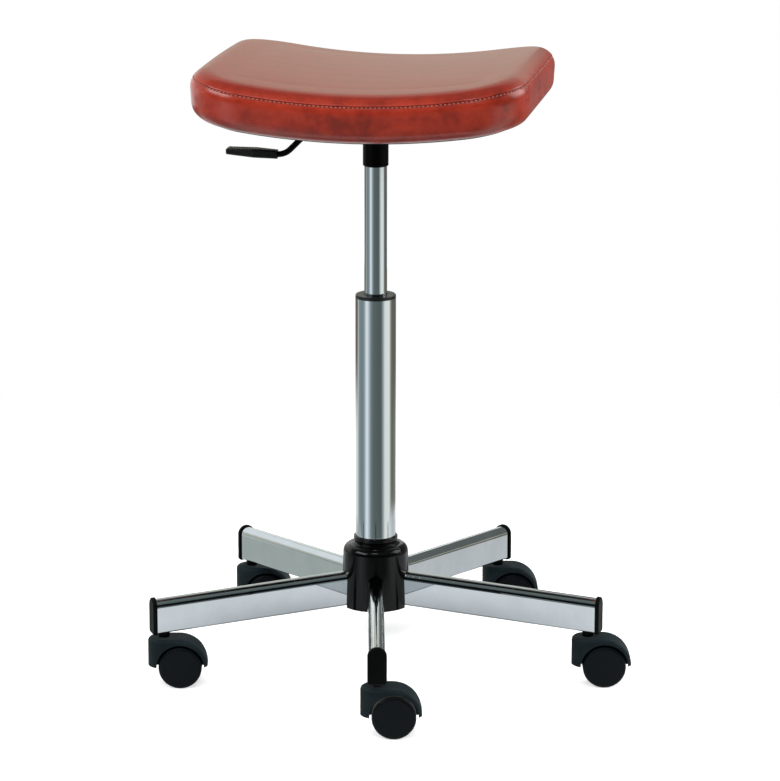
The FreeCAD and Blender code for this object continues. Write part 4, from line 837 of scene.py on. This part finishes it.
# Stitches under the fold
stitching = {
    "height": 0.0449,  # over the underside
    "walk": 0.001,  # steps in which the sewing line is cast
    "proud": 0.0009,  # the lip of the fold stands off the CAD skin
    "pitch": 0.0052,
    "length": 0.0030,
    "thread": 0.0005,  # half thickness
    "lift": 0.4,  # part of it by which the thread's middle lies over the lip
    "hole": (0.0012, 0.0008, 0.0004),  # half size along, across and out of the cover
    # places along a stitch or hole and how wide it is there, as parts of the half sizes
    "bead": ((-1, 0.3), (-0.8, 0.75), (-0.35, 1.0), (0.35, 1.0), (0.8, 0.75), (1, 0.3)),
    "dimple": ((-0.95, 0.3), (-0.6, 0.8), (0, 1.0), (0.6, 0.8), (0.95, 0.3)),
}


def stitchPlaces(skin, spec):
    # evenly spaced places, tangents and normals along the sewing line
    line, normals = castRing(skin, ringShares(spec["walk"])[0], spec["height"])
    normals = np.array(normals)
    line = np.array(line) + normals * spec["proud"]
    legs = np.linalg.norm(np.roll(line, -1, axis=0) - line, axis=1)
    travel = np.concatenate([[0], np.cumsum(legs)])
    count = round(travel[-1] / spec["pitch"])
    closed, closedNormals = np.vstack([line, line[:1]]), np.vstack([normals, normals[:1]])

    def at(table, s):
        return np.array([np.interp(s % travel[-1], travel, table[:, k]) for k in range(3)])

    places = []
    for i in range(count * 2):
        s = i * travel[-1] / count / 2
        along = at(closed, s + spec["pitch"] / 4) - at(closed, s - spec["pitch"] / 4)
        places.append((at(closed, s), along / np.linalg.norm(along), at(closedNormals, s)))
    return places[::2], places[1::2]


def addBlob(points, faces, centre, axes, shape, sides=8):
    # closed round form: shape gives the place along the first axis and the half width of its rings
    first = len(points)
    for place, half in shape:
        for i in range(sides):
            angle = 2 * math.pi * i / sides
            spoke = centre + axes[0] * place + axes[1] * half * math.cos(angle)
            points.append(spoke + axes[2] * half * math.sin(angle))
    for k in range(len(shape) - 1):
        for i in range(sides):
            n = (i + 1) % sides
            faces.append((first + k * sides + i, first + k * sides + n, first + (k + 1) * sides + n,
                          first + (k + 1) * sides + i))
    faces.append(tuple(range(first + sides - 1, first - 1, -1)))
    last = first + (len(shape) - 1) * sides
    faces.append(tuple(range(last, last + sides)))


def sewSeam(skin, spec):
    threadPoints, threadFaces, holePoints, holeFaces = [], [], [], []
    stitches, holes = stitchPlaces(skin, spec)
    bead = [(spec["length"] / 2 * place, half) for place, half in spec["bead"]]
    for place, along, normal in stitches:
        across = np.cross(normal, along)
        addBlob(threadPoints, threadFaces, place + normal * spec["thread"] * spec["lift"],
                (along, across * spec["thread"], normal * spec["thread"]), bead)
    # dark blobs between the stitches: painted shade of the needle holes
    for place, along, normal in holes:
        across = np.cross(normal, along)
        addBlob(holePoints, holeFaces, place,
                (along * spec["hole"][0], across * spec["hole"][1], normal * spec["hole"][2]),
                spec["dimple"])
    newPiece("seat_stitches", threadPoints, threadFaces, sewingThread())
    newPiece("seat_needle_hole_shades", holePoints, holeFaces, needleHoleShade())
    print("seam:", len(stitches), "stitches")


sewSeam(skin, stitching)

seeLow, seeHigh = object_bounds()
grown = [round(1000 * (b - a), 1) for a, b in zip(cadHigh - cadLow, seeHigh - seeLow)]
print("size: grows by", grown, "mm")
